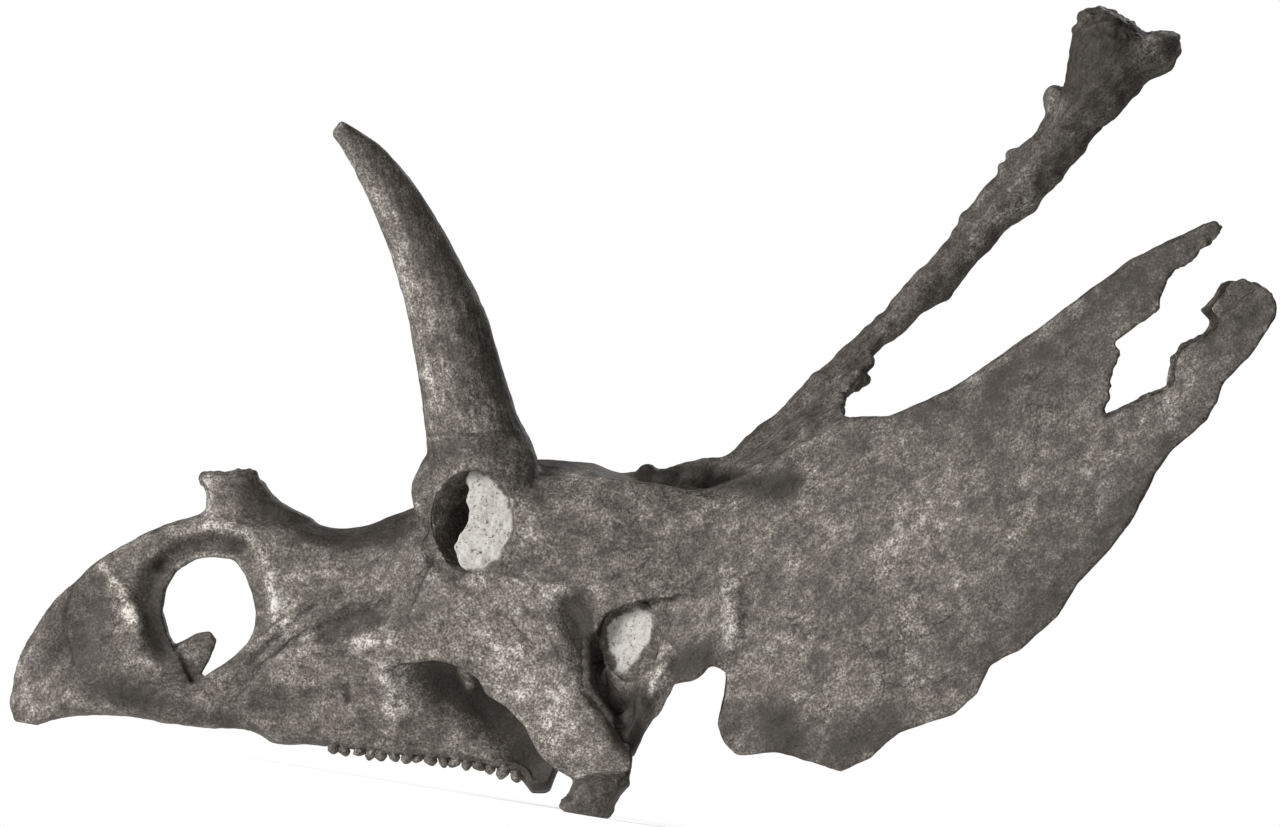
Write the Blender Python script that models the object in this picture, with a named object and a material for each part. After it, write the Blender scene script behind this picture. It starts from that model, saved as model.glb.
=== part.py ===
"""Skull of a long-frilled horned dinosaur (Pentaceratops), a fossil with a broken frill.

The skull is modelled in its own frame, in metres: x runs from the beak (-) to the frill (+), z is up and
y = 0 is the mid-plane, with the animal's left side at -y. Most sizes are given as seen from the side, as
(x, z), with the distance out from the mid-plane beside them. The bones are first one blended form, which
is then parted with thin cuts along the sutures, turned to the way the skull lies on a floor, and named.

Run it with: blender --background --python part.py
"""

import math

import bmesh
import bpy
import numpy as np
from mathutils import Matrix, Vector
from mathutils.bvhtree import BVHTree

# ---------------------------------------------------------------- driving dimensions

VOXEL = 0.0060  # grain of the blended form
SMOOTHING = 3  # passes over the blended form
FORM_TRIANGLES = 18000  # of the blended form, before it is parted
BONE_TRIANGLES = 7350  # of all the parted bones, before the teeth
SUTURE = 0.0011  # gap left by each cut
TRIM = 0.0003  # how far a bone may stand over its bounds once it is thinned
FLOOR_FLAT = 0.003  # depth ground off at each of the points that touch the floor

BEAK_REST = (-1.017, 0.157)  # lowest point of the beak, from the side
CHEEK_REST = (-0.070, 0.005)  # lowest point of the cheek bosses

# Face, from the side: its upper and lower edges without the horns, as (x, z).
FACE_TOP = [
    (-1.049, 0.205), (-1.040, 0.259), (-1.022, 0.299), (-0.984, 0.360), (-0.951, 0.393), (-0.901, 0.436),
    (-0.833, 0.473), (-0.767, 0.501), (-0.700, 0.514), (-0.620, 0.517), (-0.576, 0.512), (-0.536, 0.495),
    (-0.495, 0.487), (-0.460, 0.491), (-0.422, 0.506), (-0.383, 0.519), (-0.330, 0.550), (-0.270, 0.580),
    (-0.167, 0.601), (-0.083, 0.596), (-0.045, 0.582), (0.000, 0.570), (0.120, 0.545),
]
FACE_BOTTOM = [
    (-1.050, 0.190), (-1.042, 0.165), (-1.017, 0.155), (-0.983, 0.165), (-0.950, 0.173), (-0.912, 0.176),
    (-0.867, 0.174), (-0.772, 0.157), (-0.717, 0.151), (-0.667, 0.150), (-0.638, 0.143), (-0.615, 0.125),
    (-0.588, 0.121), (-0.560, 0.122), (-0.483, 0.112), (-0.400, 0.102), (-0.317, 0.094), (-0.233, 0.078),
    (-0.200, 0.064), (-0.176, 0.040), (-0.154, 0.042), (-0.138, 0.072), (-0.115, 0.170), (-0.060, 0.235),
    (0.060, 0.290), (0.120, 0.330),
]
# Half-width of the face at four levels, from the jaw's edge up to the roof.
LEVELS = (0.0, 0.36, 0.76, 1.0)
JAW_WIDTH = [(-1.044, 0.010), (-0.967, 0.034), (-0.900, 0.046), (-0.733, 0.060), (-0.500, 0.074),
             (-0.300, 0.084), (-0.150, 0.082), (-0.060, 0.060), (0.120, 0.050)]
CHEEK_WIDTH = [(-1.044, 0.009), (-0.967, 0.027), (-0.900, 0.036), (-0.733, 0.042), (-0.633, 0.064),
               (-0.500, 0.094), (-0.400, 0.116), (-0.300, 0.112), (-0.150, 0.094), (0.120, 0.075)]
BROW_WIDTH = [(-1.044, 0.007), (-0.967, 0.018), (-0.900, 0.027), (-0.733, 0.050), (-0.633, 0.062),
              (-0.500, 0.086), (-0.400, 0.122), (-0.300, 0.164), (-0.200, 0.184), (0.000, 0.190),
              (0.120, 0.176)]
ROOF_WIDTH = [(-1.044, 0.005), (-0.967, 0.010), (-0.900, 0.016), (-0.733, 0.042), (-0.600, 0.050),
              (-0.500, 0.054), (-0.400, 0.076), (-0.300, 0.120), (-0.150, 0.140), (0.000, 0.120),
              (0.120, 0.090)]

# Openings of the face, from the side.
NARIS = [
    (-0.708, 0.440), (-0.738, 0.436), (-0.772, 0.417), (-0.790, 0.387), (-0.796, 0.350), (-0.786, 0.312),
    (-0.765, 0.275), (-0.737, 0.240), (-0.698, 0.256), (-0.675, 0.273), (-0.654, 0.294), (-0.643, 0.318),
    (-0.639, 0.347), (-0.645, 0.378), (-0.657, 0.410), (-0.675, 0.434),
]
NARIAL_STRUT = [
    (-0.850, 0.210), (-0.832, 0.272), (-0.773, 0.293), (-0.739, 0.311), (-0.716, 0.314), (-0.705, 0.300),
    (-0.714, 0.269), (-0.733, 0.240), (-0.752, 0.205),
]
STRUT_WIDTH = 0.016
NASAL_STUMP = [
    (-0.745, 0.480), (-0.738, 0.503), (-0.729, 0.515), (-0.722, 0.535), (-0.722, 0.550), (-0.734, 0.568),
    (-0.715, 0.580), (-0.683, 0.578), (-0.667, 0.586), (-0.646, 0.584), (-0.632, 0.567), (-0.616, 0.549),
    (-0.600, 0.533), (-0.573, 0.517), (-0.540, 0.500), (-0.560, 0.460),
]
STUMP_HALF_WIDTH = 0.045

ORBIT_CENTRE, ORBIT_RADII = (-0.277, 0.190, 0.497), (0.070, 0.120, 0.087)
TEMPORAL_CENTRE, TEMPORAL_RADII = (-0.014, 0.190, 0.297), (0.047, 0.110, 0.064)
ROOF_OPENING, ROOF_OPENING_RADII = (0.085, 0.100, 0.590), (0.085, 0.036, 0.120)
# Rock or plaster left in two of the openings: the outline from the side, and the distances out it fills.
ORBIT_MATRIX = [
    (-0.287, 0.580), (-0.245, 0.580), (-0.195, 0.560), (-0.190, 0.505), (-0.200, 0.450), (-0.245, 0.405),
    (-0.285, 0.415), (-0.300, 0.437), (-0.313, 0.458), (-0.287, 0.488), (-0.283, 0.533),
]
ORBIT_MATRIX_OUT = (0.128, 0.166)
TEMPORAL_MATRIX = [
    (-0.080, 0.370), (0.020, 0.375), (0.050, 0.330), (0.040, 0.270), (-0.010, 0.245), (-0.050, 0.236),
    (-0.062, 0.270), (-0.078, 0.320),
]
TEMPORAL_MATRIX_OUT = (0.128, 0.172)
FILLING_FIT = 0.972  # size of a filling over that of its opening

# Brow horn: x, distance out, z and half-depth fore and aft, from the root to the tip.
HORN = [
    (-0.262, 0.114, 0.520, 0.086), (-0.264, 0.118, 0.590, 0.094), (-0.272, 0.124, 0.623, 0.086),
    (-0.280, 0.128, 0.655, 0.079), (-0.293, 0.136, 0.715, 0.073), (-0.318, 0.150, 0.822, 0.065),
    (-0.334, 0.157, 0.867, 0.059), (-0.364, 0.168, 0.947, 0.050), (-0.404, 0.182, 1.028, 0.042),
    (-0.426, 0.190, 1.065, 0.037), (-0.450, 0.196, 1.098, 0.031), (-0.478, 0.202, 1.129, 0.023),
    (-0.506, 0.208, 1.155, 0.015),
]
HORN_FLATNESS = 0.84  # sideways width over fore-and-aft depth
HORN_NUB = (-0.408, 0.178, 1.085)
BROW_CENTRE, BROW_RADII = (-0.273, 0.126, 0.545), (0.106, 0.064, 0.106)

# Cheek: the jugal plate that hangs outside the jaw, from the side.
JUGAL = [
    (-0.430, 0.330), (-0.395, 0.400), (-0.365, 0.470), (-0.330, 0.555), (-0.200, 0.572), (-0.060, 0.572),
    (0.060, 0.556), (0.160, 0.540), (0.165, 0.440), (0.130, 0.385), (0.045, 0.372), (-0.010, 0.362),
    (-0.056, 0.345), (-0.082, 0.300), (-0.078, 0.225), (-0.035, 0.165), (-0.014, 0.128), (-0.012, 0.090),
    (-0.022, 0.066), (-0.104, 0.066), (-0.123, 0.078), (-0.145, 0.090), (-0.170, 0.117), (-0.188, 0.155),
    (-0.220, 0.190), (-0.255, 0.212), (-0.267, 0.238), (-0.300, 0.258), (-0.340, 0.268), (-0.400, 0.262),
    (-0.425, 0.255), (-0.470, 0.270),
]
JUGAL_THICKNESS = 0.030
BOSS = [
    (-0.142, 0.022), (-0.126, 0.038), (-0.115, 0.056), (-0.108, 0.074), (-0.060, 0.086), (-0.018, 0.084),
    (-0.016, 0.062), (-0.029, 0.045), (-0.041, 0.026), (-0.048, 0.002), (-0.064, -0.006), (-0.088, -0.005),
    (-0.114, 0.003), (-0.132, 0.011),
]
BOSS_OUT, BOSS_HALF_WIDTH = 0.280, 0.066

# Frill: each squamosal blade from the side, with its broken tip and scalloped edge.
SQUAMOSAL = [
    (-0.040, 0.555), (0.060, 0.552), (0.110, 0.553), (0.175, 0.577), (0.267, 0.625), (0.350, 0.672),
    (0.417, 0.673), (0.517, 0.718), (0.617, 0.783), (0.717, 0.858), (0.817, 0.932), (0.883, 0.967),
    (0.952, 1.001), (0.970, 0.989), (0.960, 0.962), (0.919, 0.928), (0.883, 0.897), (0.870, 0.858),
    (0.825, 0.824), (0.787, 0.792), (0.795, 0.763), (0.783, 0.725), (0.772, 0.680), (0.818, 0.690),
    (0.878, 0.728), (0.884, 0.780), (0.913, 0.801), (0.951, 0.831), (0.934, 0.858), (0.970, 0.895),
    (1.000, 0.906), (1.040, 0.892), (1.059, 0.858), (1.052, 0.818), (1.014, 0.774), (0.974, 0.738),
    (0.956, 0.699), (0.948, 0.678), (0.905, 0.640), (0.872, 0.610), (0.850, 0.575), (0.817, 0.508),
    (0.783, 0.459), (0.725, 0.397), (0.690, 0.341), (0.628, 0.287), (0.578, 0.261), (0.559, 0.214),
    (0.520, 0.179), (0.431, 0.149), (0.382, 0.107), (0.333, 0.085), (0.275, 0.103), (0.225, 0.117),
    (0.178, 0.111), (0.157, 0.112), (0.139, 0.134), (0.128, 0.163), (0.141, 0.205), (0.144, 0.245),
    (0.120, 0.264), (0.096, 0.236), (0.055, 0.228), (0.036, 0.270), (0.028, 0.330), (0.014, 0.364),
    (-0.040, 0.400),
]
FRILL_ROOT, FRILL_RISE = (0.150, 0.350), math.radians(33.7)  # a point on its axis, and the axis's slope
FRILL_OUT, FRILL_SPREAD = 0.215, 0.235  # distance out at that point, and how it grows along the axis
FRILL_LEAN = (0.38, 0.48)  # how far each metre across the blade leads outwards, at its root and its tip
FRILL_BULGE = 0.022
SQUAMOSAL_THICKNESS = 0.026

# Parietal: x, z and half-sizes (up and down, sideways) of the median bar, from the skull roof to its end.
MEDIAN_BAR = [
    (-0.030, 0.556, 0.022, 0.045), (0.060, 0.567, 0.022, 0.030), (0.140, 0.585, 0.026, 0.030),
    (0.213, 0.634, 0.026, 0.036), (0.286, 0.700, 0.026, 0.040), (0.343, 0.756, 0.024, 0.036),
    (0.388, 0.801, 0.024, 0.034), (0.454, 0.857, 0.027, 0.034), (0.514, 0.920, 0.032, 0.036),
    (0.562, 0.978, 0.037, 0.040), (0.620, 1.046, 0.043, 0.046), (0.661, 1.091, 0.044, 0.050),
    (0.710, 1.147, 0.045, 0.060), (0.750, 1.204, 0.045, 0.074), (0.775, 1.250, 0.042, 0.086),
    (0.790, 1.285, 0.036, 0.096),
]
BAR_END = [
    (0.694, 1.150), (0.707, 1.222), (0.716, 1.263), (0.722, 1.320), (0.738, 1.353), (0.767, 1.358),
    (0.797, 1.341), (0.825, 1.331), (0.841, 1.310), (0.870, 1.315), (0.899, 1.310), (0.899, 1.281),
    (0.883, 1.254), (0.847, 1.235), (0.818, 1.206), (0.792, 1.167), (0.750, 1.145),
]
BAR_END_OUT, BAR_END_HALF_WIDTH = 0.040, 0.076
# Arch between the bar and the blades: x, z of its crest, half-width and drop to its sides.
PARIETAL_ARCH = [
    (0.150, 0.600, 0.176, 0.034), (0.200, 0.634, 0.194, 0.052), (0.250, 0.678, 0.212, 0.074),
    (0.300, 0.720, 0.228, 0.090), (0.350, 0.758, 0.242, 0.104), (0.388, 0.790, 0.252, 0.135),
]
FRILL_OPENING = (0.482, 0.148, 0.750), (0.150, 0.112, 0.300)
ARCH_THICKNESS = 0.026

# Jaw joint and back of the head.
QUADRATE = [
    (0.115, 0.190, 0.400, 0.044, 0.034), (0.078, 0.190, 0.300, 0.036, 0.034), (0.026, 0.202, 0.232, 0.028, 0.034),
    (-0.012, 0.210, 0.165, 0.026, 0.040), (-0.034, 0.214, 0.116, 0.027, 0.048),
]
HINGE_CENTRE, HINGE_RADII = (-0.012, 0.194, 0.220), (0.060, 0.014, 0.062)
CONDYLE, CONDYLE_RADIUS = (0.185, 0.0, 0.370), 0.040

# Hollows and ridges of the surface: the path from the side, its half-width, its depth (a ridge is less than
# zero) and the distances out between which it lies.
HOLLOWS = [
    ([(-0.965, 0.270), (-0.930, 0.325), (-0.915, 0.360)], 0.070, 0.009, 0, 1),
    ([(-0.808, 0.300), (-0.815, 0.350), (-0.812, 0.400), (-0.795, 0.435), (-0.765, 0.462), (-0.708, 0.468),
      (-0.660, 0.455)], 0.028, 0.010, 0, 1),
    ([(-0.888, 0.412), (-0.862, 0.378), (-0.838, 0.333), (-0.828, 0.290)], 0.024, -0.006, 0, 1),
    ([(-0.612, 0.428), (-0.605, 0.322)], 0.026, -0.005, 0, 1),
    ([(-0.695, 0.240), (-0.628, 0.300), (-0.562, 0.350), (-0.495, 0.388)], 0.024, -0.006, 0, 1),
    ([(-0.650, 0.233), (-0.695, 0.188)], 0.022, 0.005, 0, 1),
    ([(-0.510, 0.305), (-0.420, 0.345)], 0.040, 0.010, 0, 1),
    ([(-0.115, 0.355), (-0.088, 0.300), (-0.080, 0.240), (-0.035, 0.190), (-0.015, 0.150)], 0.045, 0.016, 0.12, 1),
    ([(0.160, 0.550), (0.145, 0.430), (0.152, 0.335), (0.125, 0.275)], 0.045, -0.006, 0.15, 1),
    ([(0.190, 0.430), (0.194, 0.330)], 0.040, 0.005, 0.15, 1),
    ([(0.060, 0.545), (0.190, 0.548), (0.260, 0.592)], 0.040, 0.007, 0.15, 1),
    ([(0.300, 0.480), (0.700, 0.700)], 0.120, 0.006, 0.15, 1),
]

TEETH = 16  # on each side
TOOTH_SPAN = (-0.510, -0.208)  # the row's ends, from the side
TOOTH_OUT = (0.054, 0.063)  # distance out at the front and the back of the row
TOOTH_SIZE = (0.0080, 0.0085, 0.0070)  # half-length, half-width and how far it stands out of the bone

# Where the bones part, from the side: each name has its outline and the distances out between which it lies.
# They are cut in this order, so an outline may run over bones that were cut before it.
REGIONS = {
    "epijugal": ([(-0.30, -0.10), (-0.30, 0.070), (-0.104, 0.074), (-0.020, 0.086), (0.06, 0.086),
                  (0.06, -0.10)], 0.150, 1.0),
    "brow_horn": ([(-0.60, 0.640), (-0.10, 0.650), (-0.10, 1.30), (-0.60, 1.30)], 0.0, 1.0),
    "rostral": ([(-1.20, 0.0), (-0.868, 0.0), (-0.872, 0.190), (-0.930, 0.235), (-0.960, 0.325),
                 (-0.936, 0.415), (-0.925, 0.600), (-1.20, 0.600)], -1.0, 1.0),
    "premaxilla": ([(-0.640, 0.100), (-0.655, 0.170), (-0.682, 0.196), (-0.658, 0.218), (-0.628, 0.258),
                    (-0.562, 0.312), (-0.492, 0.372), (-0.503, 0.394), (-0.570, 0.358), (-0.640, 0.305),
                    (-0.700, 0.340), (-0.775, 0.410), (-0.820, 0.500), (-0.90, 0.600), (-1.20, 0.600),
                    (-1.20, 0.0), (-0.640, 0.0)], 0.0, 1.0),
    "prefrontal": ([(-0.517, 0.386), (-0.408, 0.458), (-0.398, 0.640), (-0.345, 0.640), (-0.345, 0.433),
                    (-0.375, 0.367), (-0.410, 0.300), (-0.480, 0.342)], 0.050, 1.0),
    "maxilla": ([(-0.750, 0.0), (-0.750, 0.220), (-0.640, 0.300), (-0.517, 0.384), (-0.478, 0.340),
                 (-0.408, 0.296), (-0.400, 0.262), (-0.300, 0.268), (-0.120, 0.250), (-0.090, 0.190),
                 (-0.110, 0.0)], 0.0, 0.124),
    "nasal": ([(-0.90, 0.70), (-0.90, 0.100), (-0.50, 0.100), (-0.50, 0.380), (-0.360, 0.420),
               (-0.360, 0.70)], -1.0, 1.0),
    "jugal": ([(-0.50, 0.000), (-0.50, 0.300), (-0.415, 0.304), (-0.382, 0.372), (-0.352, 0.440),
               (-0.200, 0.403), (-0.100, 0.388), (-0.020, 0.410), (0.010, 0.370),
               (-0.046, 0.340), (-0.050, 0.236), (-0.024, 0.190), (0.020, 0.130), (0.020, 0.000)], 0.124, 1.0),
    "postorbital": ([(-0.50, 0.460), (-0.340, 0.420), (-0.200, 0.385), (-0.095, 0.370), (-0.020, 0.390),
                     (0.050, 0.440), (0.020, 0.520), (-0.010, 0.640), (-0.50, 0.640)], 0.085, 1.0),
    "skull_roof": ([(-0.50, 0.460), (0.020, 0.500), (0.020, 0.700), (-0.50, 0.700)], -1.0, 1.0),
    "quadrate": ([(0.150, 0.420), (0.045, 0.420), (0.022, 0.345), (-0.080, 0.250), (-0.080, 0.000),
                  (0.100, 0.000), (0.120, 0.256)], 0.140, 1.0),
    "parietal": ([(-0.10, 0.530), (0.12, 0.515), (0.30, 0.550), (1.20, 0.900), (1.20, 1.60),
                  (-0.10, 1.60)], -1.0, 1.0),
}
BLADE_REGION = [(-0.040, 0.620), (0.000, 0.520), (0.030, 0.460), (-0.010, 0.405), (0.012, 0.364), (0.035, 0.310),
                (0.080, 0.262), (0.140, 0.240), (0.100, 0.050), (0.60, 0.0), (1.20, 0.600), (1.20, 1.10),
                (0.80, 1.10), (0.30, 0.720), (0.10, 0.640)]

# Colour of the bones as a brightness, and of the pale fillings.
BONE_TONES = {
    "rostral": 0.125, "premaxilla": 0.150, "nasal": 0.140, "maxilla": 0.120, "prefrontal": 0.135,
    "jugal": 0.155, "epijugal": 0.150, "brow_horn": 0.140, "postorbital": 0.150, "skull_roof": 0.120,
    "squamosal": 0.170, "parietal": 0.150, "quadrate": 0.175, "braincase": 0.110,
}
BONE_WARMTH = (1.06, 1.0, 0.90)  # red, green and blue of the bone over its brightness
FILLING = (0.560, 0.545, 0.510)


# ---------------------------------------------------------------- curves

def smooth_keys(keys):
    """A smooth function through (x, value) keys that doesn't overshoot between them."""
    x, v = np.array(keys, float).T
    step = np.diff(v) / np.diff(x)
    inner = np.where(step[:-1] * step[1:] > 0, 2 * step[:-1] * step[1:] / (step[:-1] + step[1:] + 1e-12), 0)
    slope = np.concatenate([[step[0]], inner, [step[-1]]])

    def value(at):
        at = np.clip(np.asarray(at, float), x[0], x[-1])
        i = np.clip(np.searchsorted(x, at, side="right") - 1, 0, len(x) - 2)
        width = x[i + 1] - x[i]
        t = (at - x[i]) / width
        return (
            v[i] * (1 + 2 * t) * (1 - t) ** 2 + v[i + 1] * t * t * (3 - 2 * t)
            + width * (slope[i] * t * (1 - t) ** 2 - slope[i + 1] * t * t * (1 - t))
        )

    return value


def smooth_rows(rows, count):
    """Rows of numbers blended into `count` rows along a smooth curve through them."""
    rows = np.array(rows, float)
    along = np.concatenate([[0], np.cumsum(np.linalg.norm(np.diff(rows[:, :2], axis=0), axis=1))])
    at = np.linspace(0, along[-1], count)
    return np.stack([smooth_keys(np.stack([along, column], 1))(at) for column in rows.T], axis=1)


def path_distance(points, path):
    """Distance of each (x, z) point from a path of straight lines."""
    nearest = np.full(len(points), np.inf)
    for start, end in zip(path[:-1], path[1:]):
        start, run = np.array(start), np.subtract(end, start)
        at = np.clip((points - start) @ run / (run @ run), 0, 1)
        nearest = np.minimum(nearest, np.linalg.norm(points - start - at[:, None] * run, axis=1))
    return nearest


def grown(outline, gap):
    """A side outline moved outwards by a gap."""
    corners = np.array(outline, float)
    along = np.roll(corners, -1, axis=0) - corners
    if np.sum(corners[:, 0] * along[:, 1] - corners[:, 1] * along[:, 0]) < 0:
        along = -along
    out = np.stack([along[:, 1], -along[:, 0]], axis=1) / np.linalg.norm(along, axis=1)[:, None]
    both_sides = out + np.roll(out, 1, axis=0)
    reach = np.sum(both_sides * out, axis=1)
    return corners + gap * both_sides / np.maximum(reach, 0.3)[:, None]


# ---------------------------------------------------------------- closed forms

def solid(name, points, faces):
    """A mesh object with its faces turned outwards."""
    mesh = bpy.data.meshes.new(name)
    mesh.from_pydata([tuple(p) for p in points], [], [tuple(f) for f in faces])
    shape = bmesh.new()
    shape.from_mesh(mesh)
    bmesh.ops.recalc_face_normals(shape, faces=shape.faces[:])
    shape.to_mesh(mesh)
    shape.free()
    made = bpy.data.objects.new(name, mesh)
    bpy.context.scene.collection.objects.link(made)
    return made


def loft(name, rings):
    """A closed form through rings that have the same number of points."""
    rings = np.asarray(rings, float)
    rows, around = rings.shape[:2]
    faces = [
        (i * around + k, i * around + (k + 1) % around, (i + 1) * around + (k + 1) % around, (i + 1) * around + k)
        for i in range(rows - 1) for k in range(around)
    ]
    faces += [tuple(range(around))[::-1], tuple(range((rows - 1) * around, rows * around))]
    return solid(name, rings.reshape(-1, 3), faces)


def lump(name, outline, half_width, out=0.0):
    """A rounded block across the skull: the side outline, shrinking about its middle towards both ends."""
    outline = np.array(outline)
    middle = outline.mean(axis=0)
    across = np.sin(np.linspace(-0.48, 0.48, 11) * math.pi)
    shares = (1 - np.abs(across) ** 2.6) ** 0.5
    return loft(name, [
        [(x, y * half_width - out, z) for x, z in middle + share * (outline - middle)]
        for y, share in zip(across, shares)
    ])


def ellipsoid(name, centre, radii, segments=24):
    shape = bmesh.new()
    bmesh.ops.create_uvsphere(shape, u_segments=segments, v_segments=segments // 2, radius=1.0)
    bmesh.ops.transform(shape, matrix=Matrix.Translation(centre) @ Matrix.Diagonal((*radii, 1)), verts=shape.verts)
    mesh = bpy.data.meshes.new(name)
    shape.to_mesh(mesh)
    shape.free()
    made = bpy.data.objects.new(name, mesh)
    bpy.context.scene.collection.objects.link(made)
    return made


def prism(name, outline, low, high):
    """A side outline of (x, z) points, thick from y = low to y = high."""
    n = len(outline)
    points = [(x, low, z) for x, z in outline] + [(x, high, z) for x, z in outline]
    faces = [tuple(range(n)), tuple(range(n, 2 * n))[::-1]]
    faces += [(k, (k + 1) % n, n + (k + 1) % n, n + k) for k in range(n)]
    return solid(name, points, faces)


def tube(name, path, up_radius, side_radius, around=20, turned=False):
    """A closed form along a path, with elliptical rings square to it; turned is for a path that runs sideways."""
    path = np.asarray(path, float)
    run = np.gradient(path, axis=0)
    run /= np.linalg.norm(run, axis=1)[:, None]
    side = np.cross((0, 1, 0), run) if turned else np.cross(np.cross(run, (0, 1, 0)), run)
    side /= np.linalg.norm(side, axis=1)[:, None]
    up = np.cross(run, side)
    turn = np.linspace(0, 2 * math.pi, around, endpoint=False)
    rings = (
        path[:, None]
        + up[:, None] * (np.cos(turn)[None, :, None] * np.asarray(up_radius)[:, None, None])
        + side[:, None] * (np.sin(turn)[None, :, None] * np.asarray(side_radius)[:, None, None])
    )
    return loft(name, rings)


def blade(name, outline, out, thickness, grain=0.03):
    """A curved plate on the left side: `out(x, z)` is its middle's distance from the mid-plane."""
    low, high = np.min(outline, axis=0) - 2 * grain, np.max(outline, axis=0) + 2 * grain
    columns, rows = (np.ceil((high - low) / grain)).astype(int) + 1
    x, z = np.meshgrid(np.linspace(low[0], high[0], columns), np.linspace(low[1], high[1], rows), indexing="ij")
    middle = out(x, z)
    sheets = [np.stack([x, -(middle + s * thickness / 2), z], axis=-1).reshape(-1, 3) for s in (1, -1)]
    count = columns * rows
    cells = [
        (i * rows + k, (i + 1) * rows + k, (i + 1) * rows + k + 1, i * rows + k + 1)
        for i in range(columns - 1) for k in range(rows - 1)
    ]
    rim = (
        [i * rows for i in range(columns)] + [(columns - 1) * rows + k for k in range(1, rows)]
        + [i * rows + rows - 1 for i in range(columns - 2, -1, -1)] + [k for k in range(rows - 2, 0, -1)]
    )
    faces = cells + [tuple(count + v for v in cell[::-1]) for cell in cells]
    faces += [(a, b, count + b, count + a) for a, b in zip(rim, rim[1:] + rim[:1])]
    plate = solid(name, np.concatenate(sheets), faces)
    combine(plate, prism(name + "_outline", outline, -1.0, 0.0), "INTERSECT")
    return plate


# ---------------------------------------------------------------- joining and cutting

def settle(target):
    """Turns an object's modifiers into its mesh."""
    graph = bpy.context.evaluated_depsgraph_get()
    target.data = bpy.data.meshes.new_from_object(target.evaluated_get(graph))
    target.modifiers.clear()
    return target


def combine(target, other, operation, keep=False, solver="EXACT"):
    """Joins, cuts or intersects an object with another, which is then removed."""
    step = target.modifiers.new(operation, "BOOLEAN")
    step.operation, step.object, step.solver = operation, other, solver
    settle(target)
    if not keep:
        bpy.data.objects.remove(other)
    return target


def copied(source, name):
    made = bpy.data.objects.new(name, source.data.copy())
    bpy.context.scene.collection.objects.link(made)
    return made


def flipped(form):
    """Moves a form to the other side of the mid-plane."""
    form.data.transform(Matrix.Scale(-1, 4, (0, 1, 0)))
    form.data.flip_normals()
    return form


def mirrored(source, name):
    """A copy of a form on the other side of the mid-plane."""
    return flipped(copied(source, name))


def both(make, *arguments, **named):
    """A left-hand form and its mirror image."""
    left = make(*arguments, **named)
    return [left, mirrored(left, left.name + "_right")]


def joined(name, pieces):
    """One object that holds several pieces, which may run into each other."""
    shape = bmesh.new()
    for piece in pieces:
        shape.from_mesh(piece.data)
        bpy.data.objects.remove(piece)
    mesh = bpy.data.meshes.new(name)
    shape.to_mesh(mesh)
    shape.free()
    made = bpy.data.objects.new(name, mesh)
    bpy.context.scene.collection.objects.link(made)
    return made


def largest_body(target):
    """Keeps only the largest of an object's separate bodies."""
    shape = bmesh.new()
    shape.from_mesh(target.data)
    unseen, bodies = set(shape.verts), []
    while unseen:
        reached, edge = set(), [unseen.pop()]
        while edge:
            vert = edge.pop()
            reached.add(vert)
            near = {e.other_vert(vert) for e in vert.link_edges} & unseen
            unseen -= near
            edge.extend(near)
        bodies.append(reached)
    bodies.sort(key=len)
    bmesh.ops.delete(shape, geom=[v for body in bodies[:-1] for v in body], context="VERTS")
    shape.to_mesh(target.data)
    shape.free()


# ---------------------------------------------------------------- the parts of the blended form

def left(point):
    """A point given as (x, distance out, z), on the animal's left."""
    return Vector((point[0], -point[1], point[2]))


def face():
    """Snout, jaws, brow and braincase as one tall form, with the nostril through it and the palate's vault."""
    top, bottom = smooth_keys(FACE_TOP), smooth_keys(FACE_BOTTOM)
    widths = [smooth_keys(keys) for keys in (JAW_WIDTH, CHEEK_WIDTH, BROW_WIDTH, ROOF_WIDTH)]
    front = np.linspace(FACE_TOP[0][0], -0.96, 14)
    stations = np.concatenate([front, np.arange(-0.945, FACE_TOP[-1][0], 0.015), [FACE_TOP[-1][0]]])
    level = (1 - np.cos(np.linspace(0, math.pi, 25))) / 2
    rings = []
    for x in stations:
        high, low = top(x), bottom(x)
        out = smooth_keys(list(zip(LEVELS, [width(x) for width in widths])))(level)
        tall = high - low
        corner = np.minimum(1.0, np.minimum(level * 2.2, 1 - level) * tall / np.minimum(0.045, 0.3 * tall))
        out = out * np.sqrt(np.maximum(0, 1 - (1 - corner) ** 2))
        z = low + tall * level
        right = np.stack([np.full_like(z, x), out, z], axis=1)
        rings.append(np.concatenate([right, right[-2:0:-1] * (1, -1, 1)]))
    form = loft("face", rings)
    combine(form, prism("naris", NARIS, -0.3, 0.3), "DIFFERENCE")
    vault = smooth_rows([(-0.86, 0.150, 0.020, 0.022), (-0.60, 0.120, 0.045, 0.034), (-0.40, 0.105, 0.060, 0.042),
                         (-0.20, 0.080, 0.070, 0.046), (-0.06, 0.150, 0.080, 0.046)], 16)
    path = np.stack([vault[:, 0], 0 * vault[:, 0], vault[:, 1]], axis=1)
    combine(form, tube("palate", path, vault[:, 2], vault[:, 3]), "DIFFERENCE")
    return form


def cheek_out(x, z):
    """How far out the cheek plate stands."""
    flare = np.maximum(0, 0.24 - z)
    return 0.142 + 0.14 * (x + 0.35) + 0.19 * (0.408 - z) + 1.0 * flare**2


def frill_place(x, z):
    """Distances along and across the frill's axis."""
    dx, dz = x - FRILL_ROOT[0], z - FRILL_ROOT[1]
    along = dx * math.cos(FRILL_RISE) + dz * math.sin(FRILL_RISE)
    across = dx * math.sin(FRILL_RISE) - dz * math.cos(FRILL_RISE)
    return along, across


def frill_out(x, z):
    """How far out the squamosal blade stands."""
    along, across = frill_place(x, z)
    lean = np.interp(along, (0.0, 0.6), FRILL_LEAN)
    return FRILL_OUT + FRILL_SPREAD * along + lean * across + FRILL_BULGE * (1 - (across / 0.25) ** 2)


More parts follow.
